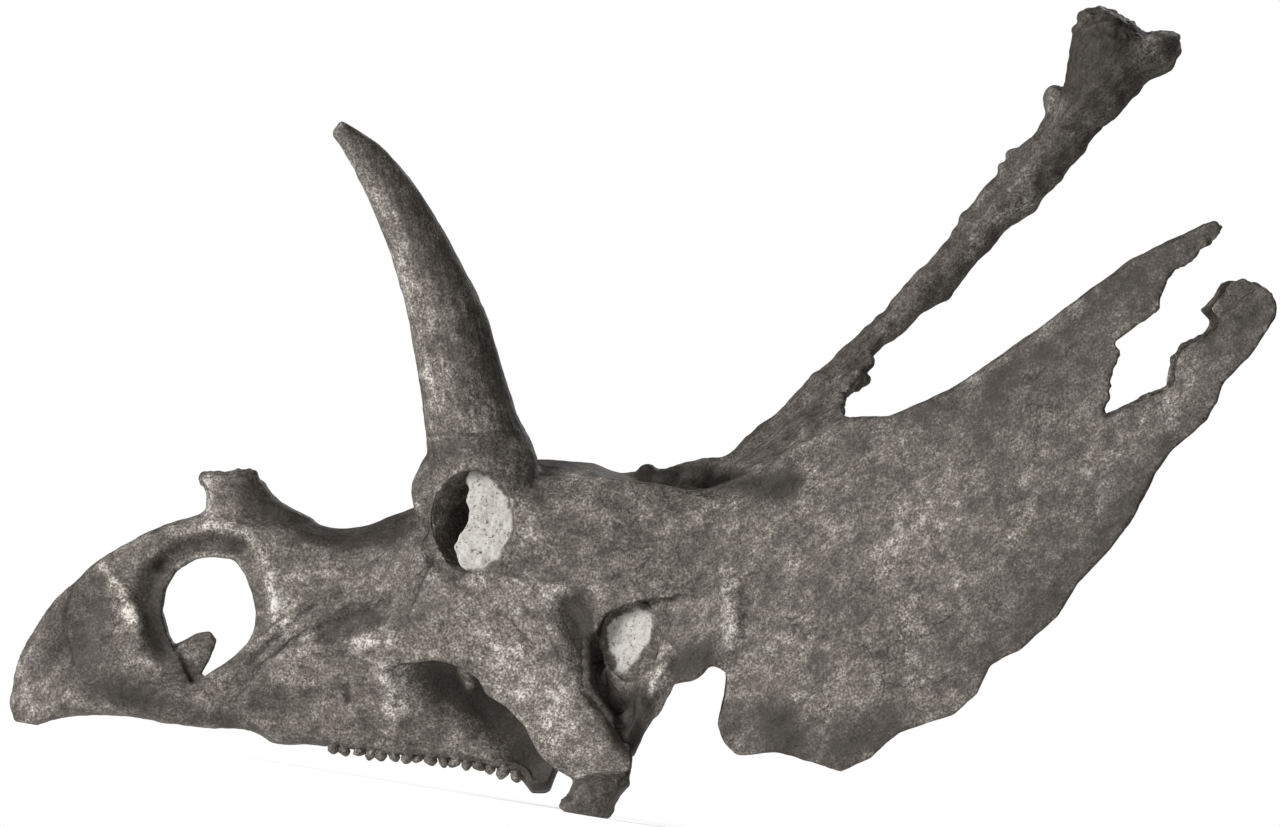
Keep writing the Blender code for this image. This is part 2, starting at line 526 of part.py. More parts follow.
def brow_horn():
    rows = smooth_rows([(x, z, out, r) for x, out, z, r in HORN], 40)
    path = np.stack([rows[:, 0], -rows[:, 2], rows[:, 1]], axis=1)
    return tube("horn", path, rows[:, 3], rows[:, 3] * HORN_FLATNESS)


def quadrate():
    rows = smooth_rows([(x, z, out, deep, wide) for x, out, z, deep, wide in QUADRATE], 14)
    path = np.stack([rows[:, 0], -rows[:, 2], rows[:, 1]], axis=1)
    return tube("quadrate", path, rows[:, 3], rows[:, 4])


def median_bar():
    rows = smooth_rows(MEDIAN_BAR, 48)
    path = np.stack([rows[:, 0], 0 * rows[:, 0], rows[:, 1]], axis=1)
    bar = tube("bar", path, rows[:, 2], rows[:, 3])
    ends = both(lump, "bar_end", BAR_END, BAR_END_HALF_WIDTH, BAR_END_OUT)
    knob = ellipsoid("knob", (0.013, 0, 0.580), (0.016, 0.020, 0.014))
    bulge = ellipsoid("bulge", (0.692, 0, 1.201), (0.022, 0.030, 0.025))
    hooks = both(ellipsoid, "hook", left((0.356, 0.034, 0.738)), (0.022, 0.018, 0.014))
    return [bar, knob, bulge] + ends + hooks


def parietal_arch():
    rows = smooth_rows(PARIETAL_ARCH, 14)
    across = np.linspace(-1, 1, 25)
    rings = []
    for x, crest, wide, drop in rows:
        z = crest - drop * np.abs(across) ** 1.3
        upper = np.stack([np.full_like(z, x), across * wide, z], axis=1)
        rings.append(np.concatenate([upper, upper[::-1] - (0, 0, ARCH_THICKNESS)]))
    return loft("arch", rings)


def back_of_head():
    """Condyle, its neck, the wings that brace the frill and the pterygoid plates of the palate."""
    neck = smooth_rows([(0.06, 0.400, 0.070, 0.075), (0.12, 0.380, 0.045, 0.050), (0.17, 0.371, 0.034, 0.034)], 8)
    path = np.stack([neck[:, 0], 0 * neck[:, 0], neck[:, 1]], axis=1)
    pieces = [
        tube("neck", path, neck[:, 2], neck[:, 3]),
        ellipsoid("condyle", CONDYLE, (CONDYLE_RADIUS,) * 3),
    ]
    wing = smooth_rows([(0.07, 0.03, 0.440, 0.075), (0.10, 0.12, 0.430, 0.058), (0.125, 0.215, 0.410, 0.056)], 10)
    path = np.stack([wing[:, 0], -wing[:, 1], wing[:, 2]], axis=1)
    pieces += both(tube, "wing", path, wing[:, 3] * 0 + 0.026, wing[:, 3], turned=True)
    flange = smooth_rows([(-0.17, 0.060, 0.150, 0.040), (-0.08, 0.080, 0.210, 0.050), (0.01, 0.150, 0.240, 0.045),
                          (0.045, 0.195, 0.240, 0.035)], 12)
    path = np.stack([flange[:, 0], -flange[:, 1], flange[:, 2]], axis=1)
    pieces += both(tube, "flange", path, flange[:, 3], flange[:, 3] * 0 + 0.014)
    return pieces


def openings():
    """Eye sockets, the openings behind them, and those of the roof and the frill."""
    cuts = []
    for name, centre, radii in (
        ("orbit", ORBIT_CENTRE, ORBIT_RADII),
        ("temple", TEMPORAL_CENTRE, TEMPORAL_RADII),
        ("roof_opening", ROOF_OPENING, ROOF_OPENING_RADII),
        ("frill_opening", *FRILL_OPENING),
    ):
        cuts += both(ellipsoid, name, left(centre), radii)
    return joined("openings", cuts)


def remeshed(form, passes):
    remesh = form.modifiers.new("blend", "REMESH")
    remesh.mode, remesh.voxel_size = "VOXEL", VOXEL
    smooth = form.modifiers.new("smooth", "SMOOTH")
    smooth.factor, smooth.iterations = 0.5, passes
    return settle(form)


def pressed(form):
    """Moves the surface in along the hollows and out along the ridges."""
    mesh = form.data
    points = np.empty(3 * len(mesh.vertices))
    normals = np.empty_like(points)
    mesh.vertices.foreach_get("co", points)
    mesh.vertices.foreach_get("normal", normals)
    points, normals = points.reshape(-1, 3), normals.reshape(-1, 3)
    out = np.abs(points[:, 1])
    facing = np.clip(2 * normals[:, 1] * np.sign(points[:, 1]), 0, 1)
    depth = np.zeros(len(points))
    for path, half_width, deep, low, high in HOLLOWS:
        reach = path_distance(points[:, [0, 2]], path) / half_width
        depth += deep * np.maximum(0, 1 - reach**2) ** 2 * (out > low) * (out < high)
    points -= normals * (depth * facing)[:, None]
    mesh.vertices.foreach_set("co", points.ravel())
    mesh.update()


def blended_form():
    """Every bone run together into one form."""
    pieces = [face(), parietal_arch()] + median_bar() + back_of_head()
    strut = prism("strut", NARIAL_STRUT, -STRUT_WIDTH, STRUT_WIDTH)
    pieces += [strut, lump("stump", NASAL_STUMP, STUMP_HALF_WIDTH)]
    pieces += both(blade, "cheek", JUGAL, cheek_out, JUGAL_THICKNESS)
    pieces += both(blade, "squamosal", SQUAMOSAL, frill_out, SQUAMOSAL_THICKNESS)
    pieces += both(lump, "boss", BOSS, BOSS_HALF_WIDTH, BOSS_OUT) + both(brow_horn) + both(quadrate)
    pieces += both(ellipsoid, "brow", left(BROW_CENTRE), BROW_RADII)
    pieces += both(ellipsoid, "nub", left(HORN_NUB), (0.008, 0.008, 0.008))
    pieces += both(ellipsoid, "hinge", left(HINGE_CENTRE), HINGE_RADII)
    form = remeshed(joined("skull", pieces), SMOOTHING)
    combine(form, openings(), "DIFFERENCE")
    remeshed(form, 1)
    pressed(form)
    remeshed(form, 1)
    thinned(form, FORM_TRIANGLES / triangles(form), mirror=True)
    return form


# ---------------------------------------------------------------- parting the bones

def take(rest, name, bounds):
    """Cuts a bone out of the rest, on both sides if its name ends in _L: `bounds(gap)` is what bounds it."""
    bone = copied(rest, name)
    combine(bone, bounds(0), "INTERSECT", solver="MANIFOLD")
    largest_body(bone)
    combine(rest, bounds(SUTURE), "DIFFERENCE", solver="MANIFOLD")
    if name.endswith("_L"):
        combine(rest, flipped(bounds(SUTURE)), "DIFFERENCE", solver="MANIFOLD")
    return bone


def side_bounds(outline, low, high):
    def bounds(gap):
        near = -1.0 if low < 0 else low - gap
        return prism("bounds", grown(outline, gap), -high - gap, -max(near, SUTURE / 2 - gap) if low >= 0 else high)
    return bounds


def blade_bounds(gap):
    def middle(x, z):
        return frill_out(x, z) + 0.030

    return blade("bounds", grown(BLADE_REGION, gap), middle, 0.140 + 2 * gap)


def matrix(name, outline, between, centre, radii, bones):
    """What fills an opening within an outline, short of the opening's walls by a thin gap."""
    filling = prism(name, outline, -between[1], -between[0])
    inside = ellipsoid("inside", left(centre), FILLING_FIT * np.array(radii), segments=18)
    combine(filling, inside, "INTERSECT", solver="MANIFOLD")
    for bone in bones:
        combine(filling, bone, "DIFFERENCE", keep=True, solver="MANIFOLD")
    largest_body(filling)
    return filling


def teeth():
    """One side's teeth, each a blunt wedge."""
    edge = smooth_keys(FACE_BOTTOM)
    pegs = []
    for k in range(TEETH):
        share = k / (TEETH - 1)
        x = TOOTH_SPAN[0] + share * (TOOTH_SPAN[1] - TOOTH_SPAN[0])
        out = TOOTH_OUT[0] + share * (TOOTH_OUT[1] - TOOTH_OUT[0])
        long, wide, tall = np.array(TOOTH_SIZE) * (1 - 0.18 * (k % 3 == 1))
        rings = [
            [(x + a * long * size, -out + b * wide * size, z) for a, b in ((-1, -1), (1, -1), (1, 1), (-1, 1))]
            for z, size in ((edge(x) + 0.018, 1.2), (edge(x) - tall, 0.45))
        ]
        pegs.append(loft("tooth", rings))
    return joined("teeth", pegs)


def triangles(target):
    return sum(len(face.vertices) - 2 for face in target.data.polygons)


def is_sound(mesh):
    """Whether a mesh is closed and no two of its faces cross."""
    shape = bmesh.new()
    shape.from_mesh(mesh)
    closed = all(edge.is_manifold for edge in shape.edges)
    corners = [{vert.index for vert in face.verts} for face in shape.faces]
    tree = BVHTree.FromBMesh(shape)
    shape.free()
    return closed and all(a == b or corners[a] & corners[b] for a, b in tree.overlap(tree))


def drop_flaps(target):
    """Removes the faces that hang off a closed mesh by one edge."""
    shape = bmesh.new()
    shape.from_mesh(target.data)
    flaps = True
    while flaps:
        flaps = list({edge.link_faces[0] for edge in shape.edges if len(edge.link_faces) == 1})
        bmesh.ops.delete(shape, geom=flaps, context="FACES")
    shape.to_mesh(target.data)
    shape.free()


def thinned(target, share, mirror=False):
    """Thins a mesh to a share of its triangles, or to a little more where that would tear it."""
    whole = target.data
    while share < 1:
        target.data = whole.copy()
        thin = target.modifiers.new("thin", "DECIMATE")
        thin.ratio = share
        if mirror:
            halves = target.modifiers.new("halves", "MIRROR")
            halves.use_axis, halves.use_bisect_axis = (False, True, False), (False, True, False)
            halves.merge_threshold = 1e-5
        drop_flaps(settle(target))
        largest_body(target)
        if is_sound(target.data):
            return
        share *= 1.03
    raise ValueError(target.name + " can't be thinned")


def floor_plane():
    """The floor, as a line from the side: its slope and its height at x = 0."""
    slope = (BEAK_REST[1] - CHEEK_REST[1]) / (BEAK_REST[0] - CHEEK_REST[0])
    return slope, CHEEK_REST[1] - slope * CHEEK_REST[0] + FLOOR_FLAT


def regions():
    """Each parted bone's name and what bounds it, in the order of the cuts, with only the left one of a pair."""
    for name, (outline, low, high) in REGIONS.items():
        if name == "jugal":
            yield "squamosal_L", blade_bounds
        yield name + "_L" if low >= 0 else name, side_bounds(outline, low, high)


def parted(form):
    """The bones of the form, with only the left one of each pair."""
    bones = [take(form, name, bounds) for name, bounds in regions()]
    form.name = "braincase"
    largest_body(form)
    return bones + [form]


def trimmed(bones):
    """Cuts off what thinning has pushed over the bones' bounds."""
    earlier = []
    for bone, (name, bounds) in zip(bones, [*regions(), ("braincase", None)]):
        if bounds:
            combine(bone, bounds(TRIM), "INTERSECT", solver="MANIFOLD")
        for paired, cutter in earlier:
            combine(bone, cutter(2 * TRIM), "DIFFERENCE", solver="MANIFOLD")
            if paired:
                combine(bone, flipped(cutter(2 * TRIM)), "DIFFERENCE", solver="MANIFOLD")
        largest_body(bone)
        earlier.append((name.endswith("_L"), bounds))


def skull():
    """Every bone and filling in the skull's own frame."""
    form = blended_form()
    bones = parted(form)
    share = BONE_TRIANGLES / sum(triangles(bone) * (1 + bone.name.endswith("_L")) for bone in bones)
    slope, level = floor_plane()
    for bone in bones:
        thinned(bone, share)
        floor = [(x, level + slope * x + drop) for x, drop in ((-1.3, 0), (1.3, 0), (1.3, -0.5), (-1.3, -0.5))]
        combine(bone, prism("floor", floor, -1, 1), "DIFFERENCE", solver="MANIFOLD")
    combine(bpy.data.objects["maxilla_L"], teeth(), "UNION", solver="MANIFOLD")
    trimmed(bones)
    fillings = [
        matrix("orbit_matrix_L", ORBIT_MATRIX, ORBIT_MATRIX_OUT, ORBIT_CENTRE, ORBIT_RADII, bones),
        matrix("temporal_matrix_L", TEMPORAL_MATRIX, TEMPORAL_MATRIX_OUT, TEMPORAL_CENTRE, TEMPORAL_RADII, bones),
    ]
    lefts = [bone for bone in bones + fillings if bone.name.endswith("_L")]
    return bones + fillings + [mirrored(bone, bone.name[:-1] + "R") for bone in lefts]


def coated(bone):
    """Gives a bone or a filling its own plain material."""
    kind = bone.name.removesuffix("_L").removesuffix("_R")
    colour = [BONE_TONES[kind] * warmth for warmth in BONE_WARMTH] if kind in BONE_TONES else FILLING
    coat = bpy.data.materials.new(bone.name)
    coat.use_nodes = True
    shader = coat.node_tree.nodes["Principled BSDF"]
    shader.inputs["Base Color"].default_value = (*colour, 1)
    shader.inputs["Roughness"].default_value = 0.78 if kind in BONE_TONES else 0.92
    shader.inputs["Metallic"].default_value = 0
    bone.data.materials.clear()
    bone.data.materials.append(coat)


def main():
    for old in list(bpy.data.objects):
        bpy.data.objects.remove(old)
    bones = skull()
    slope, level = floor_plane()
    pose = Matrix.Rotation(math.atan(slope), 4, "Y") @ Matrix.Translation((0, 0, -level))
    for bone in bones:
        bone.data.transform(pose)
        coated(bone)
    along = [vert.co.x for bone in bones for vert in bone.data.vertices]
    middle = (min(along) + max(along)) / 2
    for bone in bones:
        bone.data.transform(Matrix.Translation((-middle, 0, 0)))


main()
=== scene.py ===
"""Looks of a long-frilled horned dinosaur's skull (Pentaceratops): fossil bone with a broken frill.

Every bone is built again in fine mesh from the named sizes of the model, in the skull's own frame (x from the
beak to the frill, z up, the animal's left side at -y), is weathered, and is then turned to the way the skull
lies on the floor, where it stands for the bone of the same name in the frame.
"""

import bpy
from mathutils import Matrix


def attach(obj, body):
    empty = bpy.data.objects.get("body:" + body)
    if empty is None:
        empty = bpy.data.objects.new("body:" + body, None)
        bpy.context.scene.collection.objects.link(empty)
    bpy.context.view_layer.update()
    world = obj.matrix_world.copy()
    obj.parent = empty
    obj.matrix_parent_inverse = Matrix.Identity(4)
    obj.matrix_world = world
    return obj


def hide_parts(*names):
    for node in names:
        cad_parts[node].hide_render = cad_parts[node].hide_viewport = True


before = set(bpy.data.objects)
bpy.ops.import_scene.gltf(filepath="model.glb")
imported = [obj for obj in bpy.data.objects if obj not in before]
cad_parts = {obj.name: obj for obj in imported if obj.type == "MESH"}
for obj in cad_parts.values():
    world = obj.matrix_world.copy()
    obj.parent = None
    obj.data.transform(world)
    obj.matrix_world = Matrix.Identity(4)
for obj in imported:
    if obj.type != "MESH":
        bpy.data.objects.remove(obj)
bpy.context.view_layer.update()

import functools
import itertools
import math

import bmesh
import bpy
import numpy as np
from mathutils import Matrix, Vector
from mathutils.kdtree import KDTree

# ---------------------------------------------------------------- driving dimensions
# Sizes are in metres. Only the outlines, the rows of keys along a form and the strokes are written in whole
# millimetres. Outlines and paths are from the side, as (x, z), and a distance out is from the mid-plane.

def metres(rows):
    return np.array(rows) / 1000


VOXEL = 0.0033  # grain of the blended form
SMOOTHING = 6  # passes over the blended form
FLOOR_FLAT = 0.003  # depth ground off at each of the points that touch the floor
MIDDLE = -0.07994  # middle of the turned skull, from its own origin
MIDDLE_HEIGHT = 0.6775  # height of the picture's middle, in the skull's own frame
PICTURE_WIDTH = 2.1333  # metres across the picture at the mid-plane

BEAK_REST = (-1.017, 0.157)  # lowest point of the beak, from the side
CHEEK_REST = (-0.070, 0.005)  # lowest point of the cheek bosses

# Face: its upper and lower edges without the horns.
FACE_TOP = metres([
    (-1049, 205), (-1040, 259), (-1022, 299), (-984, 360), (-951, 393), (-901, 436), (-833, 473), (-767, 501),
    (-700, 514), (-620, 517), (-576, 512), (-536, 495), (-495, 487), (-460, 491), (-422, 506), (-383, 519),
    (-330, 550), (-270, 580), (-167, 601), (-83, 596), (-45, 582), (0, 570), (120, 545),
])
FACE_BOTTOM = metres([
    (-1050, 190), (-1042, 165), (-1017, 155), (-983, 165), (-950, 173), (-912, 176), (-867, 174), (-772, 157),
    (-717, 151), (-667, 150), (-638, 143), (-615, 125), (-588, 121), (-560, 122), (-483, 112), (-400, 102),
    (-317, 94), (-233, 78), (-200, 64), (-176, 40), (-154, 42), (-138, 72), (-115, 170), (-60, 235), (60, 290),
    (120, 330),
])
# Half-width of the face along x at four levels, from the jaw's edge up to the roof.
LEVELS = (0.0, 0.36, 0.76, 1.0)
JAW_WIDTH = metres([
    (-1044, 10), (-967, 34), (-900, 46), (-733, 60), (-500, 74), (-300, 84), (-150, 82), (-60, 60), (120, 50),
])
CHEEK_WIDTH = metres([
    (-1044, 9), (-967, 27), (-900, 36), (-733, 42), (-633, 64), (-500, 94), (-400, 116), (-300, 112),
    (-150, 94), (120, 75),
])
BROW_WIDTH = metres([
    (-1044, 7), (-967, 18), (-900, 27), (-733, 50), (-633, 62), (-500, 86), (-400, 122), (-300, 164),
    (-200, 184), (0, 190), (120, 176),
])
ROOF_WIDTH = metres([
    (-1044, 5), (-967, 10), (-900, 16), (-733, 42), (-600, 50), (-500, 54), (-400, 76), (-300, 120),
    (-150, 140), (0, 120), (120, 90),
])

FACE_STEP = 0.015  # between the face's rings
FACE_ROUNDING = 0.045  # radius of the face's upper and lower edges
# The palate's vault: x, z and half-sizes (up and down, sideways).
PALATE = metres([
    (-860, 150, 20, 22), (-600, 120, 45, 34), (-400, 105, 60, 42), (-200, 80, 70, 46), (-60, 150, 80, 46),
])

# Openings of the face.
NARIS = metres([
    (-708, 440), (-738, 436), (-772, 417), (-790, 387), (-796, 350), (-786, 312), (-768, 275), (-748, 226),
    (-700, 254), (-675, 273), (-654, 294), (-643, 318), (-639, 347), (-645, 378), (-657, 410), (-675, 434),
])
NARIAL_STRUT = metres([
    (-850, 210), (-832, 272), (-773, 293), (-739, 311), (-716, 314), (-705, 300), (-716, 270), (-738, 230),
    (-752, 205),
])
STRUT_HALF_WIDTH = 0.028
NASAL_STUMP = metres([
    (-745, 480), (-738, 500), (-731, 512), (-723, 518), (-723, 545), (-737, 568), (-732, 580), (-712, 584),
    (-690, 579), (-668, 588), (-644, 586), (-630, 568), (-616, 549), (-600, 533), (-573, 517), (-540, 500),
    (-560, 460),
])
STUMP_HALF_WIDTH = 0.045

ORBIT_CENTRE, ORBIT_RADII = (-0.277, 0.190, 0.497), (0.070, 0.120, 0.087)
TEMPORAL_CENTRE, TEMPORAL_RADII = (-0.014, 0.190, 0.297), (0.047, 0.110, 0.064)
ROOF_OPENING, ROOF_OPENING_RADII = (0.085, 0.100, 0.590), (0.085, 0.036, 0.120)
# Rock or plaster left in two of the openings: its outline, its pale part, the distances out that it fills and how
# it slants outwards to the rear.
ORBIT_MATRIX = metres([
    (-285, 584), (-245, 584), (-195, 560), (-185, 505), (-195, 450), (-245, 403), (-283, 414), (-298, 427),
    (-308, 442), (-311, 457), (-305, 472), (-293, 482), (-285, 496), (-282, 513), (-288, 533), (-284, 553),
    (-292, 569),
])
ORBIT_PALE = metres([
    (-300, 582), (-280, 582), (-250, 573), (-227, 541), (-215, 517), (-213, 485), (-224, 457), (-237, 437),
    (-265, 418), (-320, 420), (-320, 480), (-300, 520),
])
ORBIT_MATRIX_OUT, ORBIT_SLANT = (0.128, 0.168), 0.08
TEMPORAL_MATRIX = metres([
    (-80, 370), (20, 375), (55, 335), (60, 270), (40, 225), (-10, 212), (-50, 222), (-60, 270), (-75, 320),
])
TEMPORAL_PALE = metres([
    (-55, 320), (-42, 337), (-17, 348), (-1, 354), (15, 344), (21, 320), (15, 297), (-2, 277), (-17, 257),
    (-33, 242), (-47, 238), (-39, 257), (-45, 277), (-55, 300),
])
TEMPORAL_MATRIX_OUT, TEMPORAL_SLANT = (0.128, 0.184), 0.25

# Brow horn: x, distance out, z and half-depth fore and aft, from the root to the tip.
HORN = metres([
    (-262, 114, 520, 86), (-264, 118, 590, 94), (-272, 124, 623, 86), (-280, 128, 655, 79),
    (-293, 136, 715, 73), (-318, 150, 822, 65), (-334, 157, 867, 59), (-364, 168, 947, 50),
    (-404, 182, 1028, 42), (-426, 190, 1065, 37), (-450, 196, 1098, 31), (-478, 202, 1129, 23),
    (-506, 208, 1155, 15),
])
HORN_FLATNESS = 0.84  # sideways width over fore-and-aft depth
HORN_NUB, HORN_NUB_RADIUS = (-0.408, 0.178, 1.085), 0.008
BROW_CENTRE, BROW_RADII = (-0.273, 0.126, 0.545), (0.106, 0.064, 0.106)

# Cheek: the jugal plate that hangs outside the jaw, and the horn on its lower end.
JUGAL = metres([
    (-430, 330), (-395, 400), (-365, 470), (-330, 555), (-200, 572), (-60, 572), (60, 556), (160, 540),
    (165, 440), (130, 385), (45, 372), (-10, 362), (-56, 345), (-82, 300), (-78, 225), (-35, 165), (-14, 128),
    (-12, 90), (-22, 66), (-104, 66), (-123, 78), (-145, 90), (-170, 117), (-188, 155), (-220, 190),
    (-255, 212), (-267, 238), (-300, 258), (-340, 268), (-400, 262), (-425, 255), (-470, 270),
])
JUGAL_THICKNESS = 0.030
CHEEK_PLACE, CHEEK_OUT = (-0.350, 0.408), 0.142  # a point of the plate, and its distance out
CHEEK_SPREAD = (0.14, 0.19)  # how much further out a metre to the rear and a metre down lead
CHEEK_FLARE = 0.240  # height below which the plate flares
BOSS = metres([
    (-137, 27), (-121, 41), (-113, 56), (-108, 74), (-60, 86), (-18, 84), (-16, 62), (-29, 48), (-40, 32),
    (-47, 10), (-62, 1), (-84, 1), (-106, 9), (-126, 18),
])
BOSS_OUT, BOSS_HALF_WIDTH = 0.280, 0.066

# Frill: each squamosal blade, with its broken tips and scalloped edge.
SQUAMOSAL = metres([
    (-40, 555), (60, 552), (110, 553), (175, 577), (267, 625), (350, 672), (417, 673), (517, 718), (617, 783),
    (717, 858), (817, 932), (883, 965), (950, 998), (966, 986), (954, 966), (926, 945), (914, 926), (893, 919),
    (876, 903), (867, 880), (859, 852), (843, 835), (812, 815), (784, 794), (798, 780), (789, 758), (780, 733),
    (776, 698), (767, 684), (778, 677), (823, 694), (854, 709), (883, 722), (887, 745), (889, 772), (912, 794),
    (956, 819), (956, 833), (942, 851), (962, 872), (977, 897), (997, 901), (1022, 893), (1046, 877),
    (1053, 857), (1051, 836), (1032, 808), (1011, 775), (981, 744), (965, 729), (954, 696), (944, 683),
    (938, 668), (908, 640), (882, 618), (852, 580), (817, 508), (783, 459), (725, 397), (690, 341), (628, 287),
    (578, 261), (559, 214), (520, 179), (431, 149), (382, 107), (333, 85), (275, 103), (225, 117), (178, 111),
    (157, 112), (139, 134), (128, 163), (141, 205), (144, 245), (120, 264), (96, 236), (55, 228), (36, 270),
    (28, 330), (14, 364), (-40, 400),
])
FRILL_ROOT, FRILL_RISE = (0.150, 0.350), math.radians(33.7)  # a point on its axis, and the axis's slope
FRILL_OUT, FRILL_SPREAD = 0.215, 0.235  # distance out at that point, and how it grows along the axis
FRILL_LEAN = (0.38, 0.48)  # how far each metre across the blade leads outwards, at its root and its tip
FRILL_LENGTH, FRILL_HALF_WIDTH = 0.6, 0.25
FRILL_BULGE = 0.022  # how far its axis stands out from its edges
SQUAMOSAL_THICKNESS = 0.026

# Parietal: x, z and half-sizes (up and down, sideways) of the median bar, from the skull roof to its end.
MEDIAN_BAR = metres([
    (-30, 556, 22, 45), (60, 567, 22, 30), (140, 585, 26, 30), (213, 634, 26, 36), (286, 700, 26, 40),
    (343, 756, 24, 36), (388, 801, 24, 34), (454, 857, 27, 34), (514, 920, 32, 36), (562, 978, 37, 40),
    (620, 1046, 43, 46), (661, 1091, 44, 50), (710, 1147, 45, 60), (750, 1204, 45, 74), (775, 1250, 42, 86),
    (790, 1285, 36, 96),
])
BAR_END = metres([
    (694, 1150), (707, 1222), (716, 1263), (722, 1320), (738, 1353), (767, 1358), (797, 1341), (825, 1331),
    (841, 1310), (870, 1315), (899, 1310), (899, 1281), (883, 1254), (847, 1235), (818, 1206), (792, 1167),
    (750, 1145),
])
BAR_END_OUT, BAR_END_HALF_WIDTH = 0.040, 0.076
# Lumps of the bar: their places and radii.
KNOB = (0.013, 0, 0.580), (0.016, 0.020, 0.014)
BULGE = (0.692, 0, 1.201), (0.022, 0.030, 0.025)
HOOK = (0.358, 0.036, 0.733), (0.020, 0.016, 0.017)
# Knots along the bar: x, y, z and radius.
BAR_BUMPS = metres([
    (612, -10, 1078, 22), (630, 10, 1100, 20), (728, 0, 1124, 20), (690, -12, 1078, 18), (548, 8, 1000, 18),
    (560, -20, 990, 18), (500, 12, 880, 16), (420, -14, 838, 15), (770, -50, 1175, 22),
])
# Arch between the bar and the blades: x and z of its crest, half-width and drop to its sides.
PARIETAL_ARCH = metres([
    (150, 600, 176, 34), (200, 634, 194, 52), (250, 678, 212, 74), (300, 720, 228, 90), (350, 758, 242, 104),
    (388, 790, 252, 135),
])
FRILL_OPENING = (0.482, 0.148, 0.750), (0.150, 0.112, 0.300)
# Front end of that opening: it runs round under the hook that hangs from the bar.
FRILL_OPENING_FRONT = metres([
    (350, 711), (343, 711), (335, 701), (334, 686), (341, 674), (358, 668), (400, 666), (460, 684), (520, 724),
    (520, 860), (470, 820), (420, 784), (388, 758), (373, 745), (379, 729), (367, 714),
])
FRILL_OPENING_HALF_WIDTH = 0.232
ARCH_THICKNESS = 0.026

# Jaw joint and back of the head. Quadrate: x, distance out, z and half-sizes (fore and aft, sideways).
QUADRATE = metres([
    (115, 190, 400, 44, 34), (78, 190, 300, 36, 34), (26, 202, 232, 28, 34), (-12, 210, 165, 26, 40),
    (-34, 214, 116, 27, 48),
])
HINGE_CENTRE, HINGE_RADII = (-0.012, 0.194, 0.220), (0.060, 0.014, 0.062)
CONDYLE, CONDYLE_RADIUS = (0.185, 0.0, 0.370), 0.040
CONDYLE_NECK = metres([(60, 400, 70, 75), (120, 380, 45, 50), (170, 371, 34, 34)])  # x, z and half-sizes
# Wings that brace the frill and pterygoid plates of the palate: x, distance out, z and half-height.
WING = metres([(70, 30, 440, 75), (100, 120, 430, 58), (125, 215, 410, 56)])
PTERYGOID = metres([(-170, 60, 150, 40), (-80, 80, 210, 50), (10, 150, 240, 45), (45, 195, 240, 35)])
WING_HALF_THICKNESS, PTERYGOID_HALF_THICKNESS = 0.026, 0.014

# Strokes over the surface, in millimetres. Hollows and ridges: the path, its half-width, its depth (a ridge is less
# than zero) and, unless it lies anywhere, the distances out between which it lies.
HOLLOWS = [
    # Beak and snout: the pit of the premaxilla, the forked ridge behind it and the trough around the nostril.
    ([(-945, 290), (-925, 330), (-915, 370)], 62, 12),
    ([(-905, 236), (-840, 226)], 34, 4),
    ([(-890, 418), (-852, 374), (-833, 335), (-838, 285)], 16, -7),
    ([(-884, 388), (-870, 362), (-852, 343)], 9, -4),
    ([(-665, 455), (-710, 463), (-758, 455), (-795, 430)], 24, 12),
    ([(-800, 420), (-812, 390), (-810, 345), (-795, 295)], 36, 16),
    ([(-826, 464), (-781, 482), (-727, 491), (-678, 491), (-652, 477), (-629, 446), (-616, 410), (-607, 366),
      (-607, 321)], 17, -6),
    # Ridges that run up and back over the cheek, and the hollow in front of the eye socket.
    ([(-695, 238), (-628, 300), (-562, 350), (-495, 392)], 18, -6),
    ([(-660, 225), (-590, 285), (-520, 330)], 12, 5),
    ([(-640, 270), (-575, 330), (-535, 362)], 9, 5),
    ([(-520, 310), (-470, 340), (-435, 352)], 32, 14),
    ([(-560, 285), (-500, 292), (-440, 300), (-412, 306)], 16, -6),
    ([(-675, 215), (-600, 198), (-545, 200)], 26, 6),
    ([(-487, 222), (-484, 198)], 11, 6),
    ([(-415, 250), (-405, 180)], 30, -6),
    # The recess between the cheek and the tooth row, with a lump in it.
    ([(-370, 232), (-330, 222), (-280, 205), (-225, 150), (-185, 100)], 55, 24, 0, 124),
    ([(-292, 252), (-283, 222)], 16, -12, 0, 124),
    # Rim of the eye socket.
    ([(-378, 590), (-386, 500), (-366, 430), (-310, 392)], 16, -3, 80, 1000),
    ([(-335, 575), (-350, 530), (-352, 480), (-335, 435), (-300, 410)], 30, 10, 50, 1000),
    # Behind the cheek: the trough in front of the lower temporal opening, with a thin ridge in it.
    ([(-115, 355), (-92, 300), (-84, 240), (-40, 190), (-18, 150)], 40, 20, 120, 1000),
    ([(-73, 323), (-67, 277)], 6, -4, 120, 1000),
    # Root of the frill: the front ridge of the squamosal, the groove behind it and the trough along the roof.
    ([(138, 428), (145, 362), (155, 338), (145, 295), (122, 267)], 20, -8, 150, 1000),
    ([(176, 395), (182, 345), (172, 300)], 16, 6, 150, 1000),
    ([(60, 545), (190, 548), (260, 592)], 36, 10, 150, 1000),
    ([(300, 480), (700, 700)], 120, 6, 150, 1000),
    ([(230, 520), (330, 560), (420, 600)], 24, -4, 150, 1000),
    ([(200, 280), (330, 240), (470, 300)], 60, 5, 150, 1000),
]

